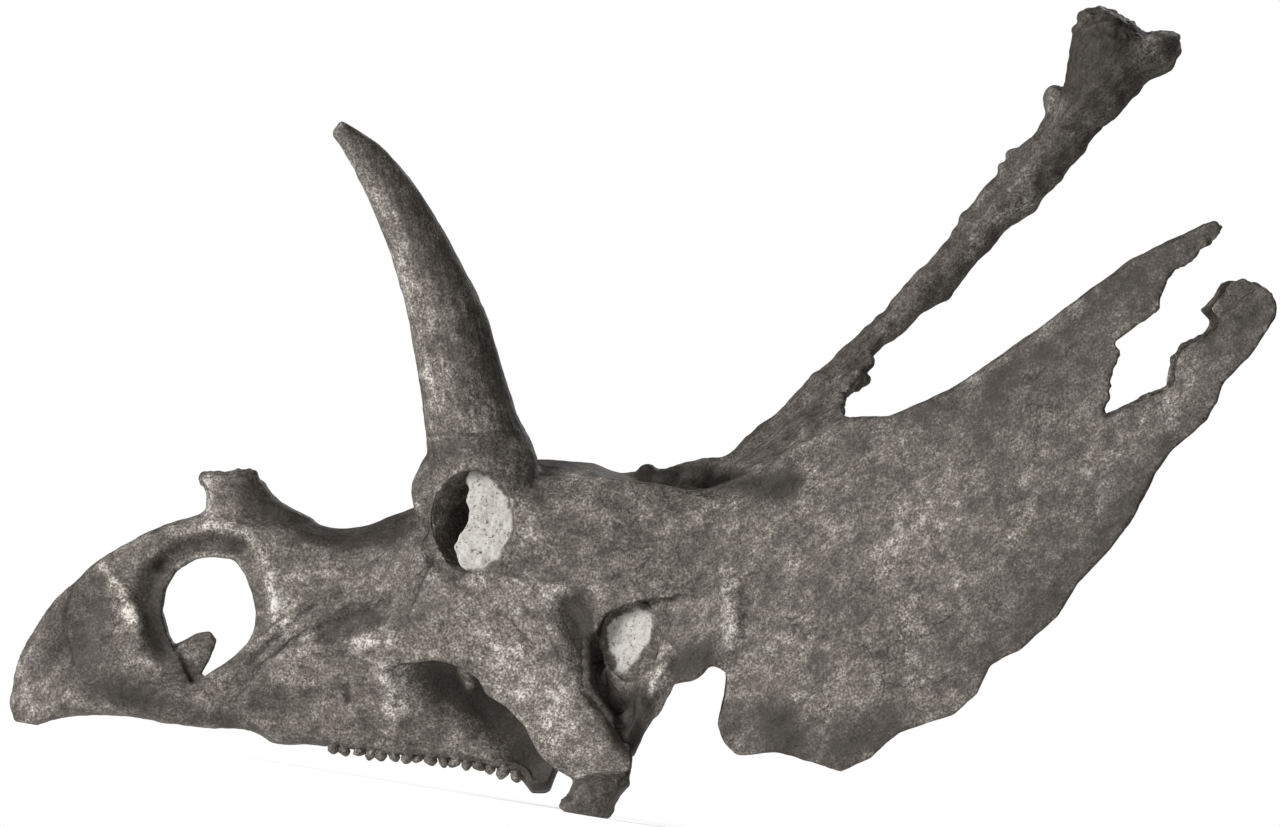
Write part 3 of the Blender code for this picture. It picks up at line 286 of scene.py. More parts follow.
# Patches of lighter and darker tone: as above, with how much each adds to the tone in place of the depth.
# A few are the bone's own colour; most are painted shade in pits, troughs, recesses and on faces turned away
# from the light, and painted highlights on ridges and lit faces.
TONES_AND_PAINTED_LIGHT = [
    # Snout: painted shade in the pits, in the trough round the nostril and along the top; painted highlights
    # on the forked ridge, the ridge behind the nostril and the left of the broken nose horn; darker and lighter
    # bands low down.
    ([(-945, 290), (-925, 330), (-915, 370)], 75, -0.46),
    ([(-893, 422), (-862, 376), (-846, 335)], 15, 0.85),
    ([(-886, 390), (-874, 362), (-858, 343)], 12, 0.45),
    ([(-860, 285), (-845, 265), (-815, 245)], 22, 0.40),
    ([(-900, 222), (-830, 212)], 40, -0.45),
    ([(-925, 188), (-840, 184)], 12, 0.30),
    ([(-867, 200), (-683, 167)], 26, -0.40),
    ([(-665, 458), (-710, 466), (-758, 455), (-795, 430)], 24, -0.55),
    ([(-808, 410), (-816, 385), (-814, 345), (-798, 295)], 38, -0.68),
    ([(-781, 482), (-727, 491), (-678, 491), (-652, 477), (-629, 446), (-616, 410), (-607, 366), (-607, 321)],
      17, 0.50),
    ([(-612, 400), (-596, 345), (-590, 320)], 30, 0.32),
    ([(-722, 550), (-716, 510)], 26, 0.35),
    ([(-660, 556), (-620, 515), (-550, 488), (-467, 468), (-400, 492)], 42, -0.60),
    ([(-800, 330), (-790, 270), (-745, 230)], 30, -0.40),
    # In front of the eye: painted highlights on the ends of the cheek ridges and by the eye's rim, painted shade
    # in the hollows between them.
    ([(-598, 340), (-585, 390), (-570, 345)], 26, 0.30),
    ([(-520, 310), (-470, 340), (-435, 352)], 36, -0.50),
    ([(-560, 283), (-500, 292), (-455, 298)], 18, 0.40),
    ([(-470, 292), (-430, 308), (-412, 306)], 20, 0.85),
    ([(-446, 366), (-430, 350)], 14, 0.50),
    ([(-375, 433), (-390, 410)], 35, 0.30),
    ([(-640, 200), (-560, 200)], 40, -0.35),
    ([(-412, 245), (-400, 190)], 40, 0.75),
    ([(-487, 222), (-484, 200)], 9, -0.55),
    # Horn: painted shade down its rear side to its tip and a painted highlight down its front, for a light from
    # the left; painted shade on the brow at its foot.
    ([(-483, 1142), (-442, 1100), (-383, 1025), (-333, 933), (-283, 833), (-242, 733), (-208, 650)], 40, -0.42),
    ([(-475, 1095), (-415, 985), (-375, 860), (-350, 740), (-340, 670)], 36, 0.30),
    ([(-343, 600), (-325, 620), (-290, 630), (-240, 622)], 30, -0.45, 50, 1000),
    ([(-158, 550), (-133, 500)], 45, -0.28, 50, 1000),
    # Painted shade in the recess between the cheek and the tooth row and in the trough behind the cheek;
    # painted highlights on the lump in the recess, the ridge in the trough, the middle of the cheek and beside the
    # eye.
    ([(-330, 235), (-300, 225), (-260, 210)], 58, -0.80, 0, 124),
    ([(-245, 190), (-205, 145), (-175, 100), (-155, 60)], 55, -0.80, 0, 124),
    ([(-292, 248), (-283, 224)], 16, 1.4, 0, 124),
    ([(-104, 355), (-83, 280), (-60, 205), (-30, 155)], 44, -0.80, 100, 1000),
    ([(-73, 323), (-67, 277)], 7, 0.5, 120, 1000),
    ([(0, 205), (-20, 165), (-10, 120)], 44, -0.80, 124, 1000),
    ([(-200, 530), (-193, 470)], 30, 0.30, 100, 1000),
    ([(-225, 265), (-180, 200), (-120, 120)], 62, 0.36, 124, 1000),
    # Quadrate: painted highlight on its blade, painted shade on its underside.
    ([(45, 267), (22, 238), (17, 212)], 8, 0.70, 120, 1000),
    ([(108, 275), (70, 255)], 40, -0.80, 100, 1000),
    # Roof and root of the frill: painted shade in the trough along the roof, painted highlights on the
    # squamosal's front ridge and beside it.
    ([(10, 580), (60, 574), (140, 566), (210, 556), (250, 566)], 34, -0.80),
    ([(0, 530), (20, 520)], 30, 0.28, 50, 1000),
    ([(145, 430), (148, 362), (155, 300)], 20, 0.60, 150, 1000),
    ([(110, 510), (140, 480)], 45, 0.25, 150, 1000),
    # Squamosal: a pale middle and lighter and darker patches of its own; painted shade at its lower corner,
    # along its edges and on its broken tips, where it turns from the light.
    ([(400, 450), (480, 510)], 80, 0.26, 150, 1000),
    ([(500, 680), (720, 760)], 70, -0.25, 150, 1000),
    ([(550, 733), (650, 800), (730, 858)], 20, 0.40, 150, 1000),
    ([(690, 520), (680, 480)], 60, -0.20, 150, 1000),
    ([(870, 680), (885, 700)], 45, 0.35, 150, 1000),
    ([(583, 400), (600, 390)], 60, -0.22, 150, 1000),
    ([(225, 165), (245, 140)], 65, -0.72, 150, 1000),
    ([(330, 118), (405, 160)], 55, -0.60, 150, 1000),
    ([(575, 267), (700, 383), (783, 483), (850, 583), (917, 667)], 50, -0.38, 150, 1000),
    ([(583, 750), (733, 850), (850, 925), (950, 985)], 60, -0.42, 150, 1000),
    ([(1008, 867), (958, 800)], 75, -0.38, 150, 1000),
    # Parietal: dark end.
    ([(770, 1310), (733, 1217)], 90, -0.50),
    ([(850, 1290), (880, 1285)], 45, 0.35),
    ([(690, 1200), (694, 1192)], 26, 0.55),
    ([(600, 985), (650, 1035)], 22, 0.60),
]

# Broken ends: as above, with how rough each is.
BREAKS = [
    ([(-728, 560), (-690, 582), (-640, 578)], 40, 1.0),
    ([(722, 1340), (900, 1310)], 60, 1.0),
    ([(772, 680), (800, 760), (830, 824), (884, 897), (960, 975)], 34, 1.0, 200, 1000),
    ([(818, 690), (884, 730), (886, 785), (940, 830), (935, 870), (990, 910), (1050, 880)], 40, 0.8, 200, 1000),
    ([(356, 738), (330, 700)], 30, 1.0),
    ([(-120, 30), (-50, 10)], 50, 0.5, 200, 1000),
]

# Relief, as layers of noise: the height, the size of the lumps and the seed of each.
RELIEF = [(0.0016, 0.075, 1), (0.0012, 0.030, 2), (0.0007, 0.012, 3)]
FIBRES, FIBRE_HEIGHT = [(1.0, 0.011, 4), (0.6, 0.006, 5)], 0.0006
BAR_RELIEF = [(0.0075, 0.046, 14), (0.0032, 0.019, 15)]
BROKEN_RELIEF, BROKEN_LOSS = [(0.0030, 0.011, 6), (0.0018, 0.0065, 7)], 0.001
FILLING_RELIEF = [(0.0030, 0.034, 6), (0.0018, 0.012, 7), (0.0008, 0.005, 8)]
FILLING_WANDER = 0.0045  # how far a filling's outline wanders
PALE_EDGE, PALE_EDGE_WIDTH = [(0.004, 0.012, 12), (0.002, 0.005, 13)], 0.004

# Sutures, where two bones meet.
WALL_REACH = 0.020  # how far from a suture its distance is still measured
HORN_FOOT = (0.630, 0.665)  # heights between which the horn meets the brow, where no suture shows
SUTURE_WANDER = 0.0022  # how far a suture wanders from its line
SUTURE_DEPTH, SUTURE_HALF_WIDTH, SUTURE_DARKNESS = 0.0011, 0.0028, 0.50
FIBRE_FADE = 0.004  # distance from a suture at which the grain has its full height
SEAMS = {"brow_horn": 0.0, "epijugal": 0.8, "maxilla": 0.8, "braincase": 0.4, "prefrontal": 0.45,
         "postorbital": 0.45, "nasal": 0.7}  # how deep sutures are, if not 1

# How each bone looks: its tone over the mean, the slope in degrees of its grain from the side, how long its
# grain is over its width, and how rough and cracked it is.
# The epijugal's low tone is partly painted shade under the cheek horn, the quadrate's high tone partly a painted
# highlight.
BONES = {
    "rostral": (0.92, 60, 3, 1.0), "premaxilla": (0.92, 30, 3, 1.0), "nasal": (0.95, -5, 4, 1.0),
    "maxilla": (0.95, 10, 2, 1.0), "prefrontal": (0.95, 40, 3, 1.0), "jugal": (1.09, -50, 2, 0.8),
    "epijugal": (0.66, 20, 1, 1.3), "brow_horn": (1.00, 107, 9, 1.2), "postorbital": (1.01, 0, 2, 1.0),
    "skull_roof": (0.85, 0, 2, 1.0), "squamosal": (0.97, 36, 4, 1.1), "parietal": (0.80, 52, 5, 1.6),
    "quadrate": (1.15, 65, 3, 1.0), "braincase": (0.65, 0, 2, 1.0),
}

TEETH = 16  # on each side
TOOTH_SPAN = (-0.510, -0.208)  # the row's ends, from the side
TOOTH_OUT = (0.054, 0.063)  # distance out at the front and the back of the row
TOOTH_SIZE = (0.0096, 0.0090, 0.0072)  # half-length, half-width and how far it stands out of the bone
# A tooth's rings: how far below the jaw's edge, over its height, and its girth.
TOOTH_RINGS = [(-2.6, 0.90), (-0.9, 1.06), (0.0, 1.02), (0.3, 0.84), (0.6, 0.62), (0.86, 0.42), (1.0, 0.20)]
TOOTH_RIDGE = 0.30  # height of the ridge down its outer face, over its half-width
ALVEOLI_HEIGHT, ALVEOLI_REACH = 0.0020, 0.035  # swellings over the teeth: their height, and how far up they reach

# Where the bones part, in millimetres: each name has its outline and the distances out between which it lies. They
# are cut in this order, so an outline may run over bones that were cut before it.
REGIONS = {
    "epijugal": ([(-300, -100), (-300, 70), (-104, 74), (-20, 86), (60, 86), (60, -100)], 150, 1000),
    "brow_horn": ([(-600, 640), (-100, 650), (-100, 1300), (-600, 1300)], 0, 1000),
    "rostral": ([(-1200, 0), (-868, 0), (-872, 190), (-930, 235), (-960, 325), (-936, 415), (-925, 600),
        (-1200, 600)], -1000, 1000),
    "premaxilla": ([(-640, 100), (-655, 170), (-682, 196), (-658, 218), (-628, 258), (-562, 312), (-492, 372),
        (-503, 394), (-570, 358), (-640, 305), (-700, 340), (-775, 410), (-820, 500), (-900, 600), (-1200, 600),
        (-1200, 0), (-640, 0)], 0, 1000),
    "prefrontal": ([(-517, 386), (-408, 458), (-398, 640), (-345, 640), (-345, 433), (-375, 367), (-410, 300),
        (-480, 342)], 50, 1000),
    "maxilla": ([(-750, 0), (-750, 220), (-640, 300), (-517, 384), (-478, 340), (-408, 296), (-400, 262),
        (-300, 268), (-120, 250), (-90, 190), (-110, 0)], 0, 124),
    "nasal": ([(-900, 700), (-900, 100), (-500, 100), (-500, 380), (-360, 420), (-360, 700)], -1000, 1000),
    "jugal": ([(-500, 0), (-500, 300), (-415, 304), (-382, 372), (-352, 440), (-200, 403), (-100, 388),
        (-20, 410), (10, 370), (-46, 340), (-50, 236), (-24, 190), (20, 130), (20, 0)], 124, 1000),
    "postorbital": ([(-500, 460), (-340, 420), (-200, 385), (-95, 370), (-20, 390), (50, 440), (20, 520),
        (-10, 640), (-500, 640)], 85, 1000),
    "skull_roof": ([(-500, 460), (20, 500), (20, 700), (-500, 700)], -1000, 1000),
    "quadrate": ([(150, 420), (45, 420), (22, 345), (-80, 250), (-80, 0), (100, 0), (120, 256)], 140, 1000),
    "parietal": ([(-100, 530), (120, 515), (300, 550), (1200, 900), (1200, 1600), (-100, 1600)], -1000, 1000),
}
BLADE_REGION = metres([
    (-40, 620), (0, 520), (30, 460), (-10, 405), (12, 364), (35, 310), (80, 262), (140, 240), (100, 50),
    (600, 0), (1200, 600), (1200, 1100), (800, 1100), (300, 720), (100, 640),
])

# Studio: soft lamps with their place, size and power, and the floor.
LAMPS = {
    "key": ((-6.4, -5.2, 2.6), 3.0, 980),
    "fill": ((3.0, -8.0, 2.0), 4.0, 90),
    "back": ((2.5, 6.5, 4.5), 4.0, 320),
}
WORLD_LIGHT = 0.13  # of the white backdrop, on everything but the camera
FLOOR_RINGS, FLOOR_SIDES, FLOOR_DROP = (0.8, 1.6, 3.2), 96, 0.0005
FLOOR_FADE = (1.3, 3.1)  # distances between which the floor fades into the backdrop
FLOOR_SHADE, FLOOR_GLOW = 0.68, 0.68
LENS, SENSOR = 1000, 36  # millimetres


# ---------------------------------------------------------------- curves

def smooth_keys(keys):
    """A smooth function through (x, value) keys that doesn't overshoot between them."""
    x, v = np.array(keys, float).T
    step = np.diff(v) / np.diff(x)
    inner = np.where(step[:-1] * step[1:] > 0, 2 * step[:-1] * step[1:] / (step[:-1] + step[1:] + 1e-12), 0)
    slope = np.concatenate([[step[0]], inner, [step[-1]]])

    def value(at):
        at = np.clip(np.asarray(at, float), x[0], x[-1])
        i = np.clip(np.searchsorted(x, at, side="right") - 1, 0, len(x) - 2)
        width = x[i + 1] - x[i]
        t = (at - x[i]) / width
        return (
            v[i] * (1 + 2 * t) * (1 - t) ** 2 + v[i + 1] * t * t * (3 - 2 * t)
            + width * (slope[i] * t * (1 - t) ** 2 - slope[i + 1] * t * t * (1 - t))
        )

    return value


def smooth_rows(rows, count):
    """Rows of numbers blended into `count` rows along a smooth curve through them."""
    rows = np.array(rows, float)
    along = np.concatenate([[0], np.cumsum(np.linalg.norm(np.diff(rows[:, :2], axis=0), axis=1))])
    at = np.linspace(0, along[-1], count)
    return np.stack([smooth_keys(np.stack([along, column], 1))(at) for column in rows.T], axis=1)


def path_distance(points, path):
    """Distance of each (x, z) point from a path of straight lines."""
    nearest = np.full(len(points), np.inf)
    for start, end in zip(path[:-1], path[1:]):
        start, run = np.array(start), np.subtract(end, start)
        at = np.clip((points - start) @ run / (run @ run), 0, 1)
        nearest = np.minimum(nearest, np.linalg.norm(points - start - at[:, None] * run, axis=1))
    return nearest


def noise(points, size, seed=0):
    """Smooth noise from -1 to 1 with lumps of about the given size."""
    cell = points / size + 31.7 * seed + 500
    corner = np.floor(cell).astype(np.int64)
    part = cell - corner
    part = part * part * (3 - 2 * part)
    total = np.zeros(len(points))
    for step in itertools.product((0, 1), repeat=3):
        i, j, k = (corner + step).T
        mixed = (i * 73856093) ^ (j * 19349663) ^ (k * 83492791)
        mixed = ((mixed ^ (mixed >> 13)) * 1274126177) & 0x7FFFFFFF
        value = ((mixed ^ (mixed >> 15)) & 0xFFFF) / 32768 - 1
        total += value * np.prod(np.where(step, part, 1 - part), axis=1)
    return total


def layered(points, layers):
    """Several noises in one: each layer has its height, the size of its lumps and its seed."""
    return sum(height * noise(points, size, seed) for height, size, seed in layers)


def wavy(outline, reach, step=0.006, seed=0):
    """A side outline whose lines wander a little, as broken edges and sutures do."""
    corners = np.array(outline, float)
    points = []
    for start, end in zip(corners, np.roll(corners, -1, axis=0)):
        count = max(1, round(float(np.linalg.norm(end - start)) / step))
        points += [start + (end - start) * k / count for k in range(count)]
    points = np.array(points)
    where = np.insert(points, 1, 0.0, axis=1)
    shift = [layered(where, [(1.0, 0.030, seed + k), (0.8, 0.012, seed + k + 2)]) for k in (0, 1)]
    return points + reach * np.stack(shift, axis=1)


# ---------------------------------------------------------------- closed forms

def linked(name, data):
    """An object in the scene for a mesh, lamp or lens."""
    made = bpy.data.objects.new(name, data)
    bpy.context.scene.collection.objects.link(made)
    return made


def spine(x, z, out=0.0):
    """A path on the animal's left, from its columns."""
    return np.stack([x, 0 * x - out, z], axis=1)


def solid(name, points, faces):
    """A mesh object with its faces turned outwards."""
    mesh = bpy.data.meshes.new(name)
    mesh.from_pydata([tuple(p) for p in points], [], [tuple(f) for f in faces])
    shape = bmesh.new()
    shape.from_mesh(mesh)
    bmesh.ops.recalc_face_normals(shape, faces=shape.faces[:])
    shape.to_mesh(mesh)
    shape.free()
    return linked(name, mesh)


def loft(name, rings):
    """A closed form through rings that have the same number of points."""
    rings = np.asarray(rings, float)
    rows, around = rings.shape[:2]
    faces = [
        (i * around + k, i * around + (k + 1) % around, (i + 1) * around + (k + 1) % around, (i + 1) * around + k)
        for i in range(rows - 1) for k in range(around)
    ]
    faces += [tuple(range(around))[::-1], tuple(range((rows - 1) * around, rows * around))]
    return solid(name, rings.reshape(-1, 3), faces)


def lump(name, outline, half_width, out=0.0):
    """A rounded block across the skull: the side outline, shrinking about its middle towards both ends."""
    outline = np.array(outline)
    middle = outline.mean(axis=0)
    across = np.sin(np.linspace(-0.48, 0.48, 11) * math.pi)
    shares = (1 - np.abs(across) ** 2.6) ** 0.5
    return loft(name, [
        [(x, y * half_width - out, z) for x, z in middle + share * (outline - middle)]
        for y, share in zip(across, shares)
    ])


def ellipsoid(name, centre, radii, segments=24):
    shape = bmesh.new()
    bmesh.ops.create_uvsphere(shape, u_segments=segments, v_segments=segments // 2, radius=1.0)
    bmesh.ops.transform(shape, matrix=Matrix.Translation(centre) @ Matrix.Diagonal((*radii, 1)), verts=shape.verts)
    mesh = bpy.data.meshes.new(name)
    shape.to_mesh(mesh)
    shape.free()
    return linked(name, mesh)


def prism(name, outline, low, high):
    """A side outline of (x, z) points, thick from y = low to y = high."""
    n = len(outline)
    points = [(x, low, z) for x, z in outline] + [(x, high, z) for x, z in outline]
    faces = [tuple(range(n)), tuple(range(n, 2 * n))[::-1]]
    faces += [(k, (k + 1) % n, n + (k + 1) % n, n + k) for k in range(n)]
    return solid(name, points, faces)


def tube(name, path, up_radius, side_radius, around=20, turned=False):
    """A closed form along a path, with elliptical rings square to it; turned is for a path that runs sideways."""
    up_radius, side_radius = (np.broadcast_to(r, len(path))[:, None, None] for r in (up_radius, side_radius))
    run = np.gradient(path, axis=0)
    run /= np.linalg.norm(run, axis=1)[:, None]
    side = np.cross((0, 1, 0), run) if turned else np.cross(np.cross(run, (0, 1, 0)), run)
    side /= np.linalg.norm(side, axis=1)[:, None]
    up = np.cross(run, side)
    turn = np.linspace(0, 2 * math.pi, around, endpoint=False)
    rings = (
        path[:, None]
        + up[:, None] * (np.cos(turn)[None, :, None] * up_radius)
        + side[:, None] * (np.sin(turn)[None, :, None] * side_radius)
    )
    return loft(name, rings)


def blade(name, outline, out, thickness, grain=0.03):
    """A curved plate on the left side: `out(x, z)` is its middle's distance from the mid-plane."""
    low, high = np.min(outline, axis=0) - 2 * grain, np.max(outline, axis=0) + 2 * grain
    columns, rows = (np.ceil((high - low) / grain)).astype(int) + 1
    x, z = np.meshgrid(np.linspace(low[0], high[0], columns), np.linspace(low[1], high[1], rows), indexing="ij")
    middle = out(x, z)
    sheets = [np.stack([x, -(middle + s * thickness / 2), z], axis=-1).reshape(-1, 3) for s in (1, -1)]
    count = columns * rows
    cells = [
        (i * rows + k, (i + 1) * rows + k, (i + 1) * rows + k + 1, i * rows + k + 1)
        for i in range(columns - 1) for k in range(rows - 1)
    ]
    rim = (
        [i * rows for i in range(columns)] + [(columns - 1) * rows + k for k in range(1, rows)]
        + [i * rows + rows - 1 for i in range(columns - 2, -1, -1)] + [k for k in range(rows - 2, 0, -1)]
    )
    faces = cells + [tuple(count + v for v in cell[::-1]) for cell in cells]
    faces += [(a, b, count + b, count + a) for a, b in zip(rim, rim[1:] + rim[:1])]
    plate = solid(name, np.concatenate(sheets), faces)
    combine(plate, prism(name + "_outline", outline, -1.0, 0.0), "INTERSECT", solver="EXACT")
    return plate


# ---------------------------------------------------------------- joining and cutting

def settle(target):
    """Turns an object's modifiers into its mesh."""
    graph = bpy.context.evaluated_depsgraph_get()
    target.data = bpy.data.meshes.new_from_object(target.evaluated_get(graph))
    target.modifiers.clear()
    return target


def combine(target, other, operation, keep=False, solver="MANIFOLD"):
    """Joins, cuts or intersects an object with another, which is then removed."""
    step = target.modifiers.new(operation, "BOOLEAN")
    step.operation, step.object, step.solver = operation, other, solver
    settle(target)
    if not keep:
        bpy.data.objects.remove(other)
    return target


def copied(source, name):
    return linked(name, source.data.copy())


def flipped(form):
    """Moves a form to the other side of the mid-plane."""
    form.data.transform(Matrix.Scale(-1, 4, (0, 1, 0)))
    form.data.flip_normals()
    return form


def both(make, *arguments, **named):
    """A left-hand form and its mirror image."""
    left = make(*arguments, **named)
    return [left, flipped(copied(left, left.name + "_right"))]


def joined(name, pieces):
    """One object that holds several pieces, which may run into each other."""
    shape = bmesh.new()
    for piece in pieces:
        shape.from_mesh(piece.data)
        bpy.data.objects.remove(piece)
    mesh = bpy.data.meshes.new(name)
    shape.to_mesh(mesh)
    shape.free()
    return linked(name, mesh)


# ---------------------------------------------------------------- the parts of the blended form

def left(point):
    """A point given as (x, distance out, z), on the animal's left."""
    return Vector((point[0], -point[1], point[2]))


def face():
    """Snout, jaws, brow and braincase as one tall form, with the nostril through it and the palate's vault."""
    top, bottom = smooth_keys(FACE_TOP), smooth_keys(FACE_BOTTOM)
    widths = [smooth_keys(keys) for keys in (JAW_WIDTH, CHEEK_WIDTH, BROW_WIDTH, ROOF_WIDTH)]
    front = np.linspace(FACE_TOP[0][0], -0.96, 14)
    stations = np.concatenate([front, np.arange(-0.945, FACE_TOP[-1][0], FACE_STEP), [FACE_TOP[-1][0]]])
    level = (1 - np.cos(np.linspace(0, math.pi, 25))) / 2
    rings = []
    for x in stations:
        high, low = top(x), bottom(x)
        out = smooth_keys(list(zip(LEVELS, [width(x) for width in widths])))(level)
        tall = high - low
        # The edges are rounded, the lower one more sharply.
        rounding = np.minimum(FACE_ROUNDING, 0.3 * tall)
        corner = np.minimum(1.0, np.minimum(level * 2.2, 1 - level) * tall / rounding)
        out = out * np.sqrt(np.maximum(0, 1 - (1 - corner) ** 2))
        z = low + tall * level
        right = np.stack([np.full_like(z, x), out, z], axis=1)
        rings.append(np.concatenate([right, right[-2:0:-1] * (1, -1, 1)]))
    form = loft("face", rings)
    combine(form, prism("naris", NARIS, -0.3, 0.3), "DIFFERENCE", solver="EXACT")
    x, z, tall, wide = smooth_rows(PALATE, 16).T
    combine(form, tube("palate", spine(x, z), tall, wide), "DIFFERENCE", solver="EXACT")
    return form


def cheek_out(x, z):
    """How far out the cheek plate stands."""
    flat = CHEEK_OUT + CHEEK_SPREAD[0] * (x - CHEEK_PLACE[0]) + CHEEK_SPREAD[1] * (CHEEK_PLACE[1] - z)
    return flat + np.maximum(0, CHEEK_FLARE - z) ** 2


def frill_place(x, z):
    """Distances along and across the frill's axis."""
    dx, dz = x - FRILL_ROOT[0], z - FRILL_ROOT[1]
    along = dx * math.cos(FRILL_RISE) + dz * math.sin(FRILL_RISE)
    across = dx * math.sin(FRILL_RISE) - dz * math.cos(FRILL_RISE)
    return along, across


def frill_out(x, z):
    """How far out the squamosal blade stands."""
    along, across = frill_place(x, z)
    lean = np.interp(along, (0.0, FRILL_LENGTH), FRILL_LEAN)
    bulge = FRILL_BULGE * (1 - (across / FRILL_HALF_WIDTH) ** 2)
    return FRILL_OUT + FRILL_SPREAD * along + lean * across + bulge


def brow_horn():
    x, z, out, deep = smooth_rows(HORN[:, (0, 2, 1, 3)], 40).T
    return tube("horn", spine(x, z, out), deep, deep * HORN_FLATNESS)


def quadrate():
    x, z, out, deep, wide = smooth_rows(QUADRATE[:, (0, 2, 1, 3, 4)], 14).T
    return tube("quadrate", spine(x, z, out), deep, wide)


def median_bar():
    x, z, tall, wide = smooth_rows(MEDIAN_BAR, 48).T
    bar = tube("bar", spine(x, z), tall, wide)
    ends = both(lump, "bar_end", BAR_END, BAR_END_HALF_WIDTH, BAR_END_OUT)
    hooks = both(ellipsoid, "hook", left(HOOK[0]), HOOK[1])
    return [bar, ellipsoid("knob", *KNOB), ellipsoid("bulge", *BULGE)] + ends + hooks


def parietal_arch():
    rows = smooth_rows(PARIETAL_ARCH, 14)
    across = np.linspace(-1, 1, 25)
    rings = []
    for x, crest, wide, drop in rows:
        z = crest - drop * np.abs(across) ** 1.3
        upper = np.stack([np.full_like(z, x), across * wide, z], axis=1)
        rings.append(np.concatenate([upper, upper[::-1] - (0, 0, ARCH_THICKNESS)]))
    return loft("arch", rings)


def back_of_head():
    """Condyle, its neck, the wings that brace the frill and the pterygoid plates of the palate."""
    x, z, tall, wide = smooth_rows(CONDYLE_NECK, 8).T
    pieces = [tube("neck", spine(x, z), tall, wide), ellipsoid("condyle", CONDYLE, (CONDYLE_RADIUS,) * 3)]
    x, out, z, tall = smooth_rows(WING, 10).T
    pieces += both(tube, "wing", spine(x, z, out), WING_HALF_THICKNESS, tall, turned=True)
    x, out, z, tall = smooth_rows(PTERYGOID, 12).T
    return pieces + both(tube, "pterygoid", spine(x, z, out), tall, PTERYGOID_HALF_THICKNESS)


def openings():
    """Eye sockets, the openings behind them, and those of the roof and the frill."""
    cuts = []
    for name, centre, radii in (
        ("orbit", ORBIT_CENTRE, ORBIT_RADII),
        ("temple", TEMPORAL_CENTRE, TEMPORAL_RADII),
        ("roof_opening", ROOF_OPENING, ROOF_OPENING_RADII),
        ("frill_opening", *FRILL_OPENING),
    ):
        cuts += both(ellipsoid, name, left(centre), radii)
    return joined("openings", cuts)


def remeshed(form, passes, voxel=VOXEL):
    """A form made again as one even, smooth mesh."""
    remesh = form.modifiers.new("blend", "REMESH")
    remesh.mode, remesh.voxel_size = "VOXEL", voxel
    smooth = form.modifiers.new("smooth", "SMOOTH")
    smooth.factor, smooth.iterations = 0.5, passes
    return settle(form)


# ---------------------------------------------------------------- weathering

def read_points(mesh, what="co"):
    values = np.empty(3 * len(mesh.vertices))
    mesh.vertices.foreach_get(what, values)
    return values.reshape(-1, 3)


def write_points(mesh, points):
    mesh.vertices.foreach_set("co", points.ravel())
    mesh.update()


def along_grain(points, slope, length):
    """The points squeezed along a grain that slopes so many degrees from the side."""
    turn = math.radians(slope)
    x, y, z = points.T
    along = (x * math.cos(turn) + z * math.sin(turn)) / length
    return np.stack([along, y, z * math.cos(turn) - x * math.sin(turn)], axis=1)


def strokes(points, table):
    """The sum of a table's strokes at each point, each of them fading out to its half-width."""
    out = np.abs(points[:, 1])
    total = np.zeros(len(points))
    for path, half_width, amount, *between in table:
        low, high = metres(between or (0, 1000))
        reach = path_distance(points[:, [0, 2]], metres(path)) / (half_width / 1000)
        total += amount * np.maximum(0, 1 - reach**2) ** 2 * (out > low) * (out < high)
    return total


def pressed(form):
    """Moves the surface in along the hollows and out along the ridges, where it faces sideways."""
    points, normals = read_points(form.data), read_points(form.data, "normal")
    facing = np.clip(2 * normals[:, 1] * np.sign(points[:, 1]), 0, 1)
    write_points(form.data, points - normals * (strokes(points, HOLLOWS) / 1000 * facing)[:, None])


class Field:
    """The blended form's surface, which says of a bone's points which way it faces and how near a cut wall is."""

    def __init__(self, form):
        self.points, self.normals = read_points(form.data), read_points(form.data, "normal")
        self.place = {tuple(p): k for k, p in enumerate(self.rounded(self.points))}
        self.tree = tree_of(self.points)

    @staticmethod
    def rounded(points):
        return np.round(points * 1e5).astype(np.int64).tolist()

    def around(self, points):
        """The form's normal at each point, and its distance from the nearest cut wall, up to WALL_REACH."""
        found = [self.place.get(tuple(p), -1) for p in self.rounded(points)]
        new = [k for k, index in enumerate(found) if index < 0]
        for k in new:
            found[k] = self.tree.find(points[k])[1]
        new = [k for k in new if not HORN_FOOT[0] < points[k][2] < HORN_FOOT[1]]
        walls = tree_of(points[new])
        near = [min(walls.find(p)[2], WALL_REACH) for p in points] if new else [WALL_REACH] * len(points)
        return self.normals[found], np.array(near)


def tree_of(points):
    tree = KDTree(len(points))
    for k, point in enumerate(points):
        tree.insert(point, k)
    tree.balance()
    return tree


# ---------------------------------------------------------------- bones

